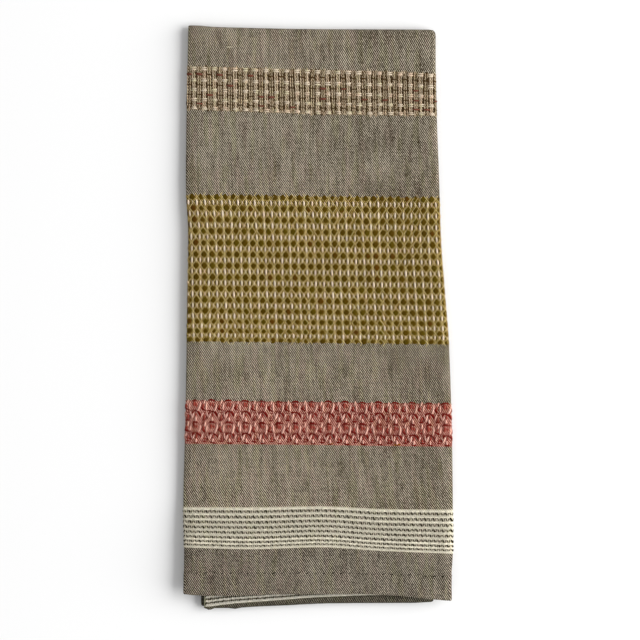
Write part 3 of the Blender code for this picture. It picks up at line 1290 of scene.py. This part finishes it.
@dataclass
class YarnWorks:
    """Makes the raised yarns of a band from its chart and lays them on the folded cloth."""

    cloth: FoldedCloth
    pieces: list[bpy.types.Object] = field(default_factory=list)
    materials: dict[Yarn, bpy.types.Material] = field(default_factory=dict)

    def __post_init__(self) -> None:
        """Builds the groups that all bands share."""
        self.float_group = yarn_float_group()
        self.repeat = repeat_group()

    def finish(self, yarn: Yarn) -> bpy.types.Material:
        """The material of a yarn, made when it is first asked for."""
        if yarn not in self.materials:
            self.materials[yarn] = yarn.value.make()
        return self.materials[yarn]

    def chart_tree(
        self, chart: BandChart, yarn: Yarn, half: Half, reach: tuple[float, float]
    ) -> bpy.types.NodeTree:
        """Builds the tree for the floats of one yarn in a band.

        Args:
            chart: The band's chart.
            yarn: The yarn.
            half: The half of the towel; the under half, which lies on the surface, has plainer floats.
            reach: The lowest and highest u that the floats cover.

        Returns:
            The tree.
        """
        board = NodeBoard.group(
            f"{chart.name}_{yarn.value.name}",
            Tree.GEOMETRY,
            {
                "Geometry": (Socket.GEOMETRY, None),
                "Column pitch": (Socket.NUMBER, chart.column_pitch),
                "Row pitch": (Socket.NUMBER, chart.row_pitch),
                "Seed": (Socket.COUNT, chart.seed),
                "Yarn": (Socket.MATERIAL, None),
            },
            {"Geometry": Socket.GEOMETRY},
        )
        given = board.given.outputs
        joined = board.put("GeometryNodeJoinGeometry")
        pitch = chart.column_pitch
        for number, part in enumerate(chart.floats):
            if part.yarn is not yarn:
                continue
            start = (chart.first_end + part.across * chart.ends_in_repeat) * END_PITCH
            skipped = math.ceil((reach[0] - start) / pitch)
            columns = math.floor((reach[1] - start) / pitch) - skipped + 1
            first = start + skipped * pitch
            every = part.every or chart.rows_in_repeat
            rows = 1 if part.single_row else math.floor((len(chart.rows) - 1 - part.row) / every) + 1
            length = part.length
            points = max(part.points // 2, FEWEST_POINTS) if half is Half.UNDER else part.points
            if part.running:
                first, columns, length = sum(reach) / 2, 1, reach[1] - reach[0]
            sizes = {title: getattr(part, title.lower()) for title in FLOAT_INPUTS}
            one = board.use(self.float_group, {**sizes, "Length": length, "Points": points})
            repeated = board.use(
                self.repeat,
                {
                    "Float": one,
                    "Columns": columns,
                    "Rows": rows,
                    "Column pitch": given["Column pitch"],
                    "Row pitch": board.times(given["Row pitch"], float(every)),
                    "First": (first, part.row * chart.row_pitch + part.rise, part.base),
                    "Turn": -math.radians(part.turn),
                    "Jitter": part.jitter,
                    "Share": part.share,
                    "Seed": board.plus(given["Seed"], 31 * number),
                },
            )
            board.tree.links.new(repeated.outputs[0], joined.inputs[0])
        realized = board.put("GeometryNodeRealizeInstances", {"Geometry": joined})
        smooth = board.put("GeometryNodeSetShadeSmooth", {"Geometry": realized})
        dressed = board.put("GeometryNodeSetMaterial", {"Geometry": smooth, "Material": given["Yarn"]})
        board.join(board.result, {"Geometry": dressed})
        return board.tree

    def flat_mesh(self, tree: bpy.types.NodeTree, name: str, yarn: Yarn) -> bpy.types.Mesh:
        """Runs a chart's tree and keeps the plain mesh.

        Args:
            tree: The tree.
            name: The piece's name.
            yarn: The yarn that dresses it.

        Returns:
            The mesh, flat on the chart.
        """
        carrier = put_down(name + "_chart", bpy.data.meshes.new(name + "_chart"))
        modifier = carrier.modifiers.new("chart", "NODES")
        modifier.node_group = tree
        for item in tree.interface.items_tree:
            if item.item_type == "SOCKET" and item.in_out == "INPUT" and item.name == "Yarn":
                modifier[item.identifier] = self.finish(yarn)
        bpy.context.view_layer.update()
        evaluated = carrier.evaluated_get(bpy.context.evaluated_depsgraph_get())
        mesh = bpy.data.meshes.new_from_object(evaluated)
        mesh.name = name
        carrier.modifiers.remove(modifier)
        bpy.data.objects.remove(carrier)
        return mesh

    def lay(self, mesh: bpy.types.Mesh, chart: BandChart, half: Half) -> None:
        """Lays a flat mesh on the cloth and gives it its maps.

        Args:
            mesh: The mesh, flat on the chart.
            chart: The band's chart.
            half: The half of the towel that it lies on.
        """
        count = len(mesh.vertices)
        points = np.empty(count * 3)
        mesh.vertices.foreach_get("co", points)
        u, y, lift = points.reshape(-1, 3).T
        v = chart.row_place(y)
        if half is not Half.FRONT:
            v = self.cloth.length - v
            mesh.flip_normals()
        if half is Half.UNDER:
            lift = np.minimum(PRESSED_FROM + PRESSED * (lift - PRESSED_FROM), PRESSED_TO)
        mesh.vertices.foreach_set("co", self.cloth.place(u, v, lift).ravel())
        corners = corner_points(mesh)
        flat = np.column_stack([u, v])
        add_map(mesh, CLOTH_UV, flat[corners])
        add_map(mesh, THREADS_UV, self.cloth.thread_numbers(u, v)[corners])
        size = max(np.ptp(u), np.ptp(v)) * 1.02
        add_map(mesh, BAKE_UV, ((flat - flat.min(0)) / size + BAKE_MARGIN)[corners])
        mesh.update()

    def weave(self, chart: BandChart, half: Half, reach: tuple[float, float]) -> None:
        """Makes a band's raised yarns on one half of the towel.

        Args:
            chart: The band's chart.
            half: The half that it lies on.
            reach: The lowest and highest u that the yarns cover.
        """
        for yarn in dict.fromkeys(part.yarn for part in chart.floats):
            name = f"{chart.name}_{yarn.value.name}_{half.value}"
            mesh = self.flat_mesh(self.chart_tree(chart, yarn, half, reach), name, yarn)
            self.lay(mesh, chart, half)
            self.pieces.append(put_down(name, mesh))
            LOG.info("%s: %d faces", name, len(mesh.polygons))


# ---------------------------------------------------------------------------------------------
# The bands
# ---------------------------------------------------------------------------------------------


@dataclass(frozen=True)
class WhiteStripes:
    """Nine cream stripes of weft floats, with dark warp floats between them."""

    rows: tuple[float, ...] = in_mm((31.1, 33.3, 35.85, 39.05, 42.15, 45.4, 48.7, 52.3, 55.45))[0]
    strand: float = 0.64 * MM
    strand_gap: float = 0.50 * MM

    def chart(self) -> BandChart:
        """The band's chart.

        Returns:
            The chart.
        """
        floats = [
            Float(
                Yarn.CREAM, 0.0, 0.0, 0.0, self.strand, turn=90, rise=place * self.strand_gap, arch=0,
                base=0.55 * MM, taper=0.0, swing=0.08 * MM, waves=32, phase=place * 2.0,
                points=260, sides=5, jitter=0.0, every=1, running=True,
            )
            for place in (-1, 0, 1)
        ]
        dark = Float(Yarn.FLOAT_SHADOW, 0.0, 0.0, 2.1 * MM, 0.98 * MM, turn=-24, arch=0.12 * MM, base=0.64 * MM)
        thin = replace(dark, length=2.0 * MM, width=0.48 * MM, base=0.63 * MM)
        for row, shift in ((0.5, 0.5), (1.5, 0.0)):
            floats += [
                replace(dark, across=shift, row=row),
                replace(thin, across=shift + 0.25, row=row, turn=16),
                replace(thin, across=shift + 0.50, row=row, width=0.66 * MM),
                replace(thin, across=shift + 0.75, row=row, turn=16),
            ]
        return BandChart("white_band", tuple(floats), self.rows, 12, 7.4, rows_in_repeat=2, seed=3)

    def ledge_chart(self) -> BandChart:
        """The chart of the band's last stripes only, for the shaded ledge below the front hem.

        Returns:
            The chart.
        """
        chart = self.chart()
        floats = tuple(
            replace(part, yarn=Yarn.SHADED_CREAM) if part.yarn is Yarn.CREAM else part for part in chart.floats
        )
        return replace(chart, floats=floats, rows=self.rows[:4])


@dataclass(frozen=True)
class MustardTrellis:
    """The broad band: a trellis of yellow threads with dark diamonds and pale spindles in it."""

    rows: tuple[float, ...] = in_mm((163.9, 169.6, 175.8, 182.6, 189.7, 197.2, 204.6,
        212.1, 219.5, 226.9, 234.6, 242.0, 249.6, 256.8))[0]

    def chart(self) -> BandChart:
        """The band's chart.

        Returns:
            The chart.
        """
        periods = len(self.rows) - 1
        pitch = (self.rows[-1] - self.rows[0]) / periods
        width = 12 * END_PITCH
        reach = (periods + 0.5) * pitch
        threads = [
            Float(
                Yarn.YELLOW, 0.25 * side, 0.0, reach, 0.27 * MM, rise=periods / 2 * pitch, arch=0,
                base=0.62 * MM, taper=0.0, swing=side * width / 4, waves=periods + 0.5, phase=-math.pi / 2,
                sharp=1.0, points=int(periods * 12) + 7, sides=4, jitter=0.25, single_row=True,
            )
            for side in (-1, 1)
        ]
        diamond = Float(
            Yarn.OLIVE, 0.0, 0.0, 3.8 * MM, 3.45 * MM, arch=0.0, base=0.44 * MM, flat=0.09, taper=0.95, sides=6
        )
        bracket = Float(Yarn.BROWN, 0.5, 0.5, 3.0 * MM, 0.66 * MM, arch=0.05 * MM, base=0.50 * MM)
        cells = [
            diamond,
            replace(diamond, yarn=Yarn.RUST, base=0.47 * MM, share=0.08),
            replace(diamond, yarn=Yarn.GREEN, base=0.46 * MM, share=0.22),
            Float(Yarn.PALE, 0.5, 0.5, 4.0 * MM, 1.25 * MM, arch=0.15 * MM, base=0.56 * MM, taper=0.9),
            Float(Yarn.STRAW, 0.0, 0.5, 2.5 * MM, 0.85 * MM, arch=0.12 * MM, base=0.54 * MM, taper=0.9),
            replace(bracket, across=0.26, bow=0.25 * MM),
            replace(bracket, across=0.74, bow=-0.25 * MM),
        ]
        return BandChart("mustard_band", tuple(threads + cells), self.rows, 12, 1.2, seed=7)


@dataclass(frozen=True)
class RedRings:
    """The red band: rings of pink floats and crimson arcs, two rows to a repeat."""

    rows: tuple[float, ...] = in_mm((100.7, 107.5, 114.5, 121.8))[0]
    unit: float = 0.65 * MM
    units_across: float = 16.7
    jitter: float = 1.6

    def chart(self) -> BandChart:
        """The band's chart.

        Returns:
            The chart.
        """

        def at(
            yarn: Yarn, row: int, x: float, y: float, length: float, width: float, turn: float, **more: float
        ) -> Float:
            """Charts a float by its place from a ring's middle and its sizes, all in the chart's unit."""
            unit = self.unit
            return Float(
                yarn, x * (1 / self.units_across), row, length * unit, width * unit, turn,
                rise=y * unit, jitter=self.jitter, **more,
            )

        row_b, row_a = 0, 1
        floats = [
            at(Yarn.CRIMSON, row_a, 0.0, 3.0, 7.6, 1.9, 90, bow=-0.9 * MM, base=0.56 * MM),
            at(Yarn.CRIMSON, row_a, -2.2, 1.2, 3.6, 1.3, 12, share=0.7),
            at(Yarn.ROSE, row_a, -1.0, 0.2, 5.0, 2.6, 6),
            at(Yarn.ROSE, row_a, 1.4, -0.2, 4.2, 1.8, -8),
            at(Yarn.ROSE, row_a, 7.8, -1.4, 4.2, 2.2, 10),
            at(Yarn.PINK, row_a, -5.2, -1.7, 7.8, 1.7, 5, bow=-0.3 * MM, base=0.60 * MM),
            at(Yarn.PINK, row_a, 3.4, -2.6, 9.4, 1.9, 16, bow=0.5 * MM, base=0.60 * MM),
            at(Yarn.PINK, row_a, 9.4, 2.6, 4.8, 1.7, 14, base=0.58 * MM),
            at(Yarn.CRIMSON, row_a, 7.9, -3.5, 7.4, 1.8, -56, bow=-0.5 * MM, base=0.56 * MM),
            at(Yarn.CRIMSON, row_a, 13.6, -6.5, 4.4, 0.8, -72),
            at(Yarn.CRIMSON, row_b, 2.6, 1.6, 8.6, 2.0, -38, bow=0.9 * MM, base=0.56 * MM),
            at(Yarn.CRIMSON, row_b, -2.8, 1.8, 8.0, 1.5, 46, bow=-0.6 * MM),
            at(Yarn.ROSE, row_b, 0.6, 1.0, 4.6, 2.0, 10),
            at(Yarn.PINK, row_b, -2.4, 0.1, 6.4, 2.0, 20, base=0.60 * MM),
            at(Yarn.PINK, row_b, 0.2, -3.4, 4.8, 2.0, 0, base=0.60 * MM),
            at(Yarn.PINK, row_b, 7.0, 1.0, 6.4, 1.4, 18, bow=-0.3 * MM, base=0.56 * MM),
            at(Yarn.PINK, row_b, 12.2, 1.2, 5.0, 1.4, -8, base=0.56 * MM),
            at(Yarn.CRIMSON, row_b, 8.8, -3.6, 5.4, 1.7, 90, bow=0.3 * MM),
            at(Yarn.CRIMSON, row_b, 11.6, -1.7, 3.4, 1.6, -24),
            at(Yarn.ROSE, row_b, 9.0, -1.2, 4.0, 2.0, 14),
            at(Yarn.CRIMSON, row_a, 0.6, -5.2, 7.4, 0.9, 90, bow=0.7 * MM, base=0.54 * MM),
            at(Yarn.CRIMSON, row_a, 8.6, 2.7, 5.6, 0.9, 90, bow=-0.5 * MM, base=0.54 * MM),
            at(Yarn.CRIMSON, row_b, 8.8, 2.5, 6.0, 0.9, 90, bow=-0.6 * MM, base=0.54 * MM),
            at(Yarn.CRIMSON, row_b, -0.4, -4.7, 5.6, 0.9, 90, bow=0.6 * MM, base=0.54 * MM),
            at(Yarn.CRIMSON, row_b, 0.4, -5.6, 6.0, 1.7, 96, single_row=True),
            at(Yarn.ORANGE, row_b, 0.4, -5.6, 6.2, 1.7, 92, single_row=True, base=0.53 * MM, share=0.1),
        ]
        return BandChart("red_band", tuple(floats), self.rows, 24, 7.0, rows_in_repeat=2, seed=11)


@dataclass(frozen=True)
class BasketBand:
    """The beige band near the top fold: blocks of pale weft among paired warp threads."""

    rows: tuple[float, ...] = in_mm((312.6, 318.0, 324.6, 331.2, 338.9))[0]

    def chart(self) -> BandChart:
        """The band's chart.

        Returns:
            The chart.
        """
        gaps = len(self.rows) - 1
        pitch = (self.rows[-1] - self.rows[0]) / gaps
        height = gaps * pitch + 2.2 * MM
        warp = Float(
            Yarn.STRAW, 0.0, 0.0, height, 0.50 * MM, rise=gaps / 2 * pitch, arch=0, base=0.50 * MM, taper=0.0,
            swing=0.08 * MM, waves=4, points=20, sides=4, jitter=0.8, single_row=True,
        )
        floats = [replace(warp, across=place) for place in (-0.087, 0.087)]
        floats += [replace(warp, yarn=Yarn.DULL, across=place, width=0.46 * MM) for place in (0.39, 0.61)]
        floats += [
            replace(warp, yarn=Yarn.BROWN, across=place, width=width, base=0.52 * MM)
            for place, width in ((0.26, 0.56 * MM), (0.74, 0.56 * MM), (0.5, 0.34 * MM))
        ]
        floats += [
            Float(
                Yarn.OAT, 0.0, 0.0, 3.2 * MM, 1.05 * MM, turn=90, rise=side * 0.56 * MM, arch=0.15 * MM,
                base=0.58 * MM, taper=0.5,
            )
            for side in (-1, 1)
        ]
        floats += [
            Float(Yarn.DEEP, side * 0.255, 0.5, 4.2 * MM, 0.74 * MM, arch=0.0, base=0.58 * MM)
            for side in (-1, 1)
        ]
        bar = Float(Yarn.BROWN, 0.5, 0.5, 3.9 * MM, 0.76 * MM, turn=90, base=0.60 * MM)
        clay = replace(bar, yarn=Yarn.CLAY, length=4.6 * MM, width=1.6 * MM, base=0.62 * MM, share=0.17)
        floats += [bar, clay]
        return BandChart("basket_band", tuple(floats), self.rows, 15, 2.0, seed=17)


@dataclass(frozen=True)
class HemStitching:
    """The dark stitches that hold the front hem, one row of them."""

    rows: tuple[float, ...] = in_mm((13.4, 14.4))[0]

    def chart(self) -> BandChart:
        """The stitches' chart.

        Returns:
            The chart.
        """
        stitch = Float(Yarn.STITCH, 0.0, 0.0, 1.3 * MM, 0.8 * MM, turn=60, base=0.56 * MM, single_row=True)
        return BandChart("hem_stitching", (stitch,), self.rows, 12, 2.0, seed=23)


@dataclass(frozen=True)
class PaleSlub:
    """One thick place in a pale pick, near the top fold."""

    rows: tuple[float, ...] = in_mm((353.6, 354.6))[0]

    def chart(self) -> BandChart:
        """The slub's chart.

        Returns:
            The chart.
        """
        slub = Float(Yarn.CREAM, 0.0, 0.0, 5.5 * MM, 0.5 * MM, turn=92, base=0.44 * MM, single_row=True)
        return BandChart("slub", (slub,), self.rows, 60, 25.3, seed=29)


# ---------------------------------------------------------------------------------------------
# The cloth itself
# ---------------------------------------------------------------------------------------------


@dataclass(frozen=True)
class BakePatch:
    """A part of the cloth's surface and the rectangle that it takes in the bake map."""

    columns: tuple[float, float]
    along: tuple[float, float]
    start: tuple[float, float]
    corner: tuple[float, float]
    scale: float
    turned: bool = False


@dataclass
class TowelSheet:
    """The cloth as one closed sheet on its folds."""

    cloth: FoldedCloth
    name: str = "towel_cloth"
    half_thickness: float = 0.42 * MM
    hem_depth: float = 14.3 * MM
    hem_swell: float = 0.34 * MM
    # The hem's thickness comes and goes over this much.
    hem_run: float = 1.2 * MM
    # The groove of the hem's stitching: where it runs, its depth and its breadth.
    groove_at: float = 13.4 * MM
    groove_depth: float = 0.24 * MM
    groove_breadth: float = 0.75 * MM
    # How much of the hem's swell shows on the plies that are folded in.
    inner_swell: float = 0.25
    edge_round: float = 0.3 * MM
    # The sheet's rows of points: from each hem, in mm, then the runs between. Columns: v from, v to, rows.
    hem_rows: tuple[float, ...] = (
        0.0, 0.5, 1.2, 2.2, 3.6, 5.4, 7.4, 9.4, 11.2, 12.2, 12.8, 13.2, 13.6, 14.0, 14.6, 15.4,
    )
    other_hem_rows: tuple[float, ...] = (13.4, 12.4, 9, 4, 1.2, 0.5, 0.0)
    row_runs: tuple[tuple[float, float, int], ...] = (
        (17 * MM, 361.6 * MM, 168), (375.5 * MM, 731 * MM, 80), (733 * MM, 752 * MM, 28),
    )
    fold_rows: int = 13
    # The columns of faces in each of the section's five runs.
    column_counts: tuple[int, ...] = (12, 8, 80, 10, 26)
    flap_gather: float = 1.9
    patches: tuple[BakePatch, ...] = (
        BakePatch((0.94, 4.06), (-1, 368.5 * MM), (126 * MM, -1 * MM), (0.002, 0.002), 0.381),
        BakePatch((0.94, 4.06), (368.5 * MM, 1), (126 * MM, 368 * MM), (0.505, 0.002), 0.614),
        BakePatch((4.06, 9), (718 * MM, 754 * MM), (300 * MM, 717 * MM), (0.822, 0.002), 0.384, True),
        BakePatch((4.06, 9), (-1, 1), (300 * MM, -1 * MM), (0.922, 0.002), 2.05),
        BakePatch((-9, 0.94), (-1, 1), (-1 * MM, -1 * MM), (0.922, 0.40), 2.05),
    )
    wrong_side: BakePatch = BakePatch((-9, 9), (-1, 1), (-1 * MM, -1 * MM), (0.505, 0.67), 4.1)

    def row_places(self) -> np.ndarray:
        """The places along the cloth of the sheet's rows.

        Returns:
            Their v, from the front hem to the other hem.
        """
        fold = (self.cloth.top_fold_from, self.cloth.top_fold_to, self.fold_rows)
        runs = [self.row_runs[0], fold, *self.row_runs[1:]]
        hem = np.array(self.hem_rows) * MM
        other_hem = self.cloth.length - np.array(self.other_hem_rows) * MM
        return np.concatenate([hem, *(np.linspace(*run) for run in runs), other_hem])

    def columns(self) -> np.ndarray:
        """The places across the section of the sheet's columns."""
        runs = [number + np.arange(count) / count for number, count in enumerate(self.column_counts)]
        # The last flap's columns draw together towards its free edge, which shows at the ledge.
        runs[-1] = 5 - (5 - runs[-1]) ** self.flap_gather
        return np.concatenate([*runs, [5.0]])

    def right_lift(self, column: np.ndarray, v: np.ndarray) -> np.ndarray:
        """How far the right side stands off the middle of the cloth.

        Args:
            column: Places across the section.
            v: Places along the cloth.

        Returns:
            The lift there, with the hems' extra thickness and the groove of their stitching.
        """
        from_end = np.minimum(v, self.cloth.length - v)
        in_hem = 1 - smooth_step((from_end - self.hem_depth + self.hem_run / 2) / self.hem_run)
        stitching = np.exp(-(((from_end - self.groove_at) / self.groove_breadth) ** 2))
        outer = (column > 0.9) & (column < 4.1) & (v < self.cloth.top_fold_from)
        outer = np.where(outer, 1.0, self.inner_swell)
        rounding = 1 - smooth_step(from_end / self.hem_run)
        lift = self.half_thickness + outer * (self.hem_swell * in_hem - self.groove_depth * stitching)
        return lift - rounding * outer * self.hem_swell * 0.8

    def build(self) -> bpy.types.Object:
        """Builds the sheet.

        Returns:
            Its object.
        """
        rows, columns = self.row_places(), self.columns()
        count = len(columns)
        half = self.half_thickness
        # The loop round the section: its columns, how far past the edge, and the side it is on.
        loop_columns = np.concatenate([columns, [5, 5], columns[::-1], [0, 0]])
        past = np.concatenate([np.zeros(count), [1, 1], np.zeros(count), [-1, -1]]) * self.edge_round
        side = np.concatenate([np.ones(count), [0.5, -0.5], -np.ones(count), [-0.5, 0.5]])
        around = len(loop_columns)
        all_rows = np.concatenate([[-self.edge_round], rows, [self.cloth.length + self.edge_round]])
        squeeze = np.ones(len(all_rows))
        squeeze[[0, -1]] = 0.5
        v = np.repeat(all_rows, around)
        column = np.tile(loop_columns, len(all_rows))
        held_v = np.clip(v, 0, self.cloth.length)
        u = self.cloth.thread_at(column, held_v) + np.tile(past, len(all_rows))
        lift = np.tile(side, len(all_rows)) * half
        on_right = np.tile(side == 1, len(all_rows))
        lift = np.where(on_right, self.right_lift(column, held_v), lift) * np.repeat(squeeze, around)
        points = self.cloth.place(u, v, lift)

        faces = []
        for row in range(len(all_rows) - 1):
            start, above = row * around, (row + 1) * around
            for step in range(around):
                after = (step + 1) % around
                faces.append((start + step, start + after, above + after, above + step))
        last = (len(all_rows) - 1) * around
        # The pairs of loop points that face each other across the sheet, from edge to edge.
        upper = [around - 1, *range(count + 1)]
        lower = [around - 2, *range(2 * count + 1, count, -1)]
        for number in range(len(upper) - 1):
            first, second = upper[number], upper[number + 1]
            third, fourth = lower[number + 1], lower[number]
            faces.append((first, fourth, third, second))
            faces.append((last + first, last + second, last + third, last + fourth))
        mesh = bpy.data.meshes.new(self.name)
        mesh.from_pydata(points.tolist(), [], faces)
        self.map(mesh, u, v, column, on_right | (np.tile(np.abs(side) == 0.5, len(all_rows))))
        mesh.shade_smooth()
        piece = put_down(self.name, mesh)
        mesh.materials.append(ClothFinish().make())
        LOG.info("%s: %d faces", self.name, len(mesh.polygons))
        return piece

    def map(
        self, mesh: bpy.types.Mesh, u: np.ndarray, v: np.ndarray, column: np.ndarray, right: np.ndarray
    ) -> None:
        """Gives the sheet its cloth map, its threads' map and its bake map.

        Args:
            mesh: The sheet's mesh.
            u: Each point's place across the cloth.
            v: Each point's place along it.
            column: Each point's place across the section.
            right: Whether each point is on the right side.
        """
        corners = corner_points(mesh)
        flat = np.column_stack([u, v])
        add_map(mesh, CLOTH_UV, flat[corners])
        add_map(mesh, THREADS_UV, self.cloth.thread_numbers(u, v)[corners])
        totals = np.empty(len(mesh.polygons), int)
        mesh.polygons.foreach_get("loop_total", totals)
        owner = np.repeat(np.arange(len(totals)), totals)
        middle_column = np.bincount(owner, column[corners]) / totals
        middle_v = np.bincount(owner, v[corners]) / totals
        on_right = np.bincount(owner, right[corners]) / totals > 0.7
        baked = np.zeros((len(corners), 2))
        done = np.zeros(len(totals), bool)
        for patch in (*self.patches, self.wrong_side):
            side = np.ones(len(totals), bool) if patch is self.wrong_side else on_right
            chosen = ~done & side
            chosen &= (middle_column >= patch.columns[0]) & (middle_column < patch.columns[1])
            chosen &= (middle_v >= patch.along[0]) & (middle_v < patch.along[1])
            done |= chosen
            picked = chosen[owner]
            place = (flat[corners[picked]] - np.array(patch.start)) / patch.scale
            baked[picked] = np.array(patch.corner) + (place[:, ::-1] if patch.turned else place)
        add_map(mesh, BAKE_UV, baked)


# ---------------------------------------------------------------------------------------------
# The studio
# ---------------------------------------------------------------------------------------------


@dataclass(frozen=True)
class Studio:
    """A pale floor, soft light and the camera straight above."""

    frame_width: float = 416 * MM
    aim: tuple[float, float, float] = (1.2 * MM, -1.6 * MM, 7.5 * MM)
    lens: float = 150.0
    sensor: float = 36.0
    floor_size: float = 4.0
    floor_colour: Colour = (0.86, 0.86, 0.86, 1)
    floor_roughness: float = 0.9
    floor_gloss: float = 0.1
    sky: float = 0.52
    key_energy: float = 312.0
    key_place: tuple[float, float, float] = (3.53, 0.0, 1.88)
    key_size: float = 4.0

    def camera(self) -> None:
        """Sets up the camera at the photograph's angle."""
        data = bpy.data.cameras.new("camera")
        data.sensor_width = self.sensor
        data.lens = self.lens
        camera = put_down("camera", data)
        distance = self.frame_width * self.lens / self.sensor
        camera.location = (self.aim[0], self.aim[1], self.aim[2] + distance)
        bpy.context.scene.camera = camera

    def floor(self) -> None:
        """Lays the pale floor."""
        half = self.floor_size / 2
        mesh = bpy.data.meshes.new("floor")
        corners = [(-half, -half, 0), (half, -half, 0), (half, half, 0), (-half, half, 0)]
        mesh.from_pydata(corners, [], [(0, 1, 2, 3)])
        floor = put_down("floor", mesh)
        material, _, shader = start_finish("floor")
        shader.inputs["Base Color"].default_value = self.floor_colour
        shader.inputs["Roughness"].default_value = self.floor_roughness
        shader.inputs["Specular IOR Level"].default_value = self.floor_gloss
        mesh.materials.append(material)

    def light(self) -> None:
        """Sets up the soft light."""
        world = bpy.data.worlds.new("studio")
        world.use_nodes = True
        sky = world.node_tree.nodes["Background"].inputs
        sky["Color"].default_value = (1, 1, 1, 1)
        sky["Strength"].default_value = self.sky
        bpy.context.scene.world = world
        data = bpy.data.lights.new("key", "AREA")
        data.energy = self.key_energy
        data.size = self.key_size
        key = put_down("key", data)
        key.location = self.key_place
        direction = np.array(self.key_place)
        key.rotation_euler = (
            0,
            math.acos(direction[2] / np.linalg.norm(direction)),
            math.atan2(direction[1], direction[0]),
        )
        key.visible_camera = False
        bpy.context.scene.view_settings.view_transform = "Standard"

    def build(self) -> None:
        """Sets up the camera, the floor and the light."""
        self.camera()
        self.floor()
        self.light()


def main() -> None:
    """Builds the towel and the studio in order, and reports each piece."""
    logging.basicConfig(level=logging.INFO, format="%(message)s")
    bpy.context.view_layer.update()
    cloth = FoldedCloth()
    sheet = TowelSheet(cloth).build()
    works = YarnWorks(cloth)
    stripes = WhiteStripes()
    # Columns: the chart, the half it lies on, and the lowest and highest u that its yarns cover, in mm.
    bands = (
        (stripes.chart(), Half.FRONT, 132.2, 303.6),
        (stripes.chart(), Half.UNDER, 146.8, 303.0),
        (RedRings().chart(), Half.FRONT, 133.4, 311.0),
        (RedRings().chart(), Half.UNDER, 146.5, 304.6),
        (MustardTrellis().chart(), Half.FRONT, 137.5, 312.6),
        (MustardTrellis().chart(), Half.UNDER, 145.9, 307.6),
        (BasketBand().chart(), Half.FRONT, 141.5, 312.6),
        (BasketBand().chart(), Half.UNDER, 144.9, 311.4),
        (stripes.ledge_chart(), Half.LEDGE, 303.4, 447.2),
        (HemStitching().chart(), Half.FRONT, 133.0, 303.0),
        (PaleSlub().chart(), Half.FRONT, 164.0, 188.0),
    )
    for chart, half, low, high in bands:
        works.weave(chart, half, (low * MM, high * MM))
    for piece in (sheet, *works.pieces):
        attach(piece, BODY)
    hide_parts(CAD_NODE)
    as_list(works.pieces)
    Studio().build()


if __name__ == "__main__":
    main()
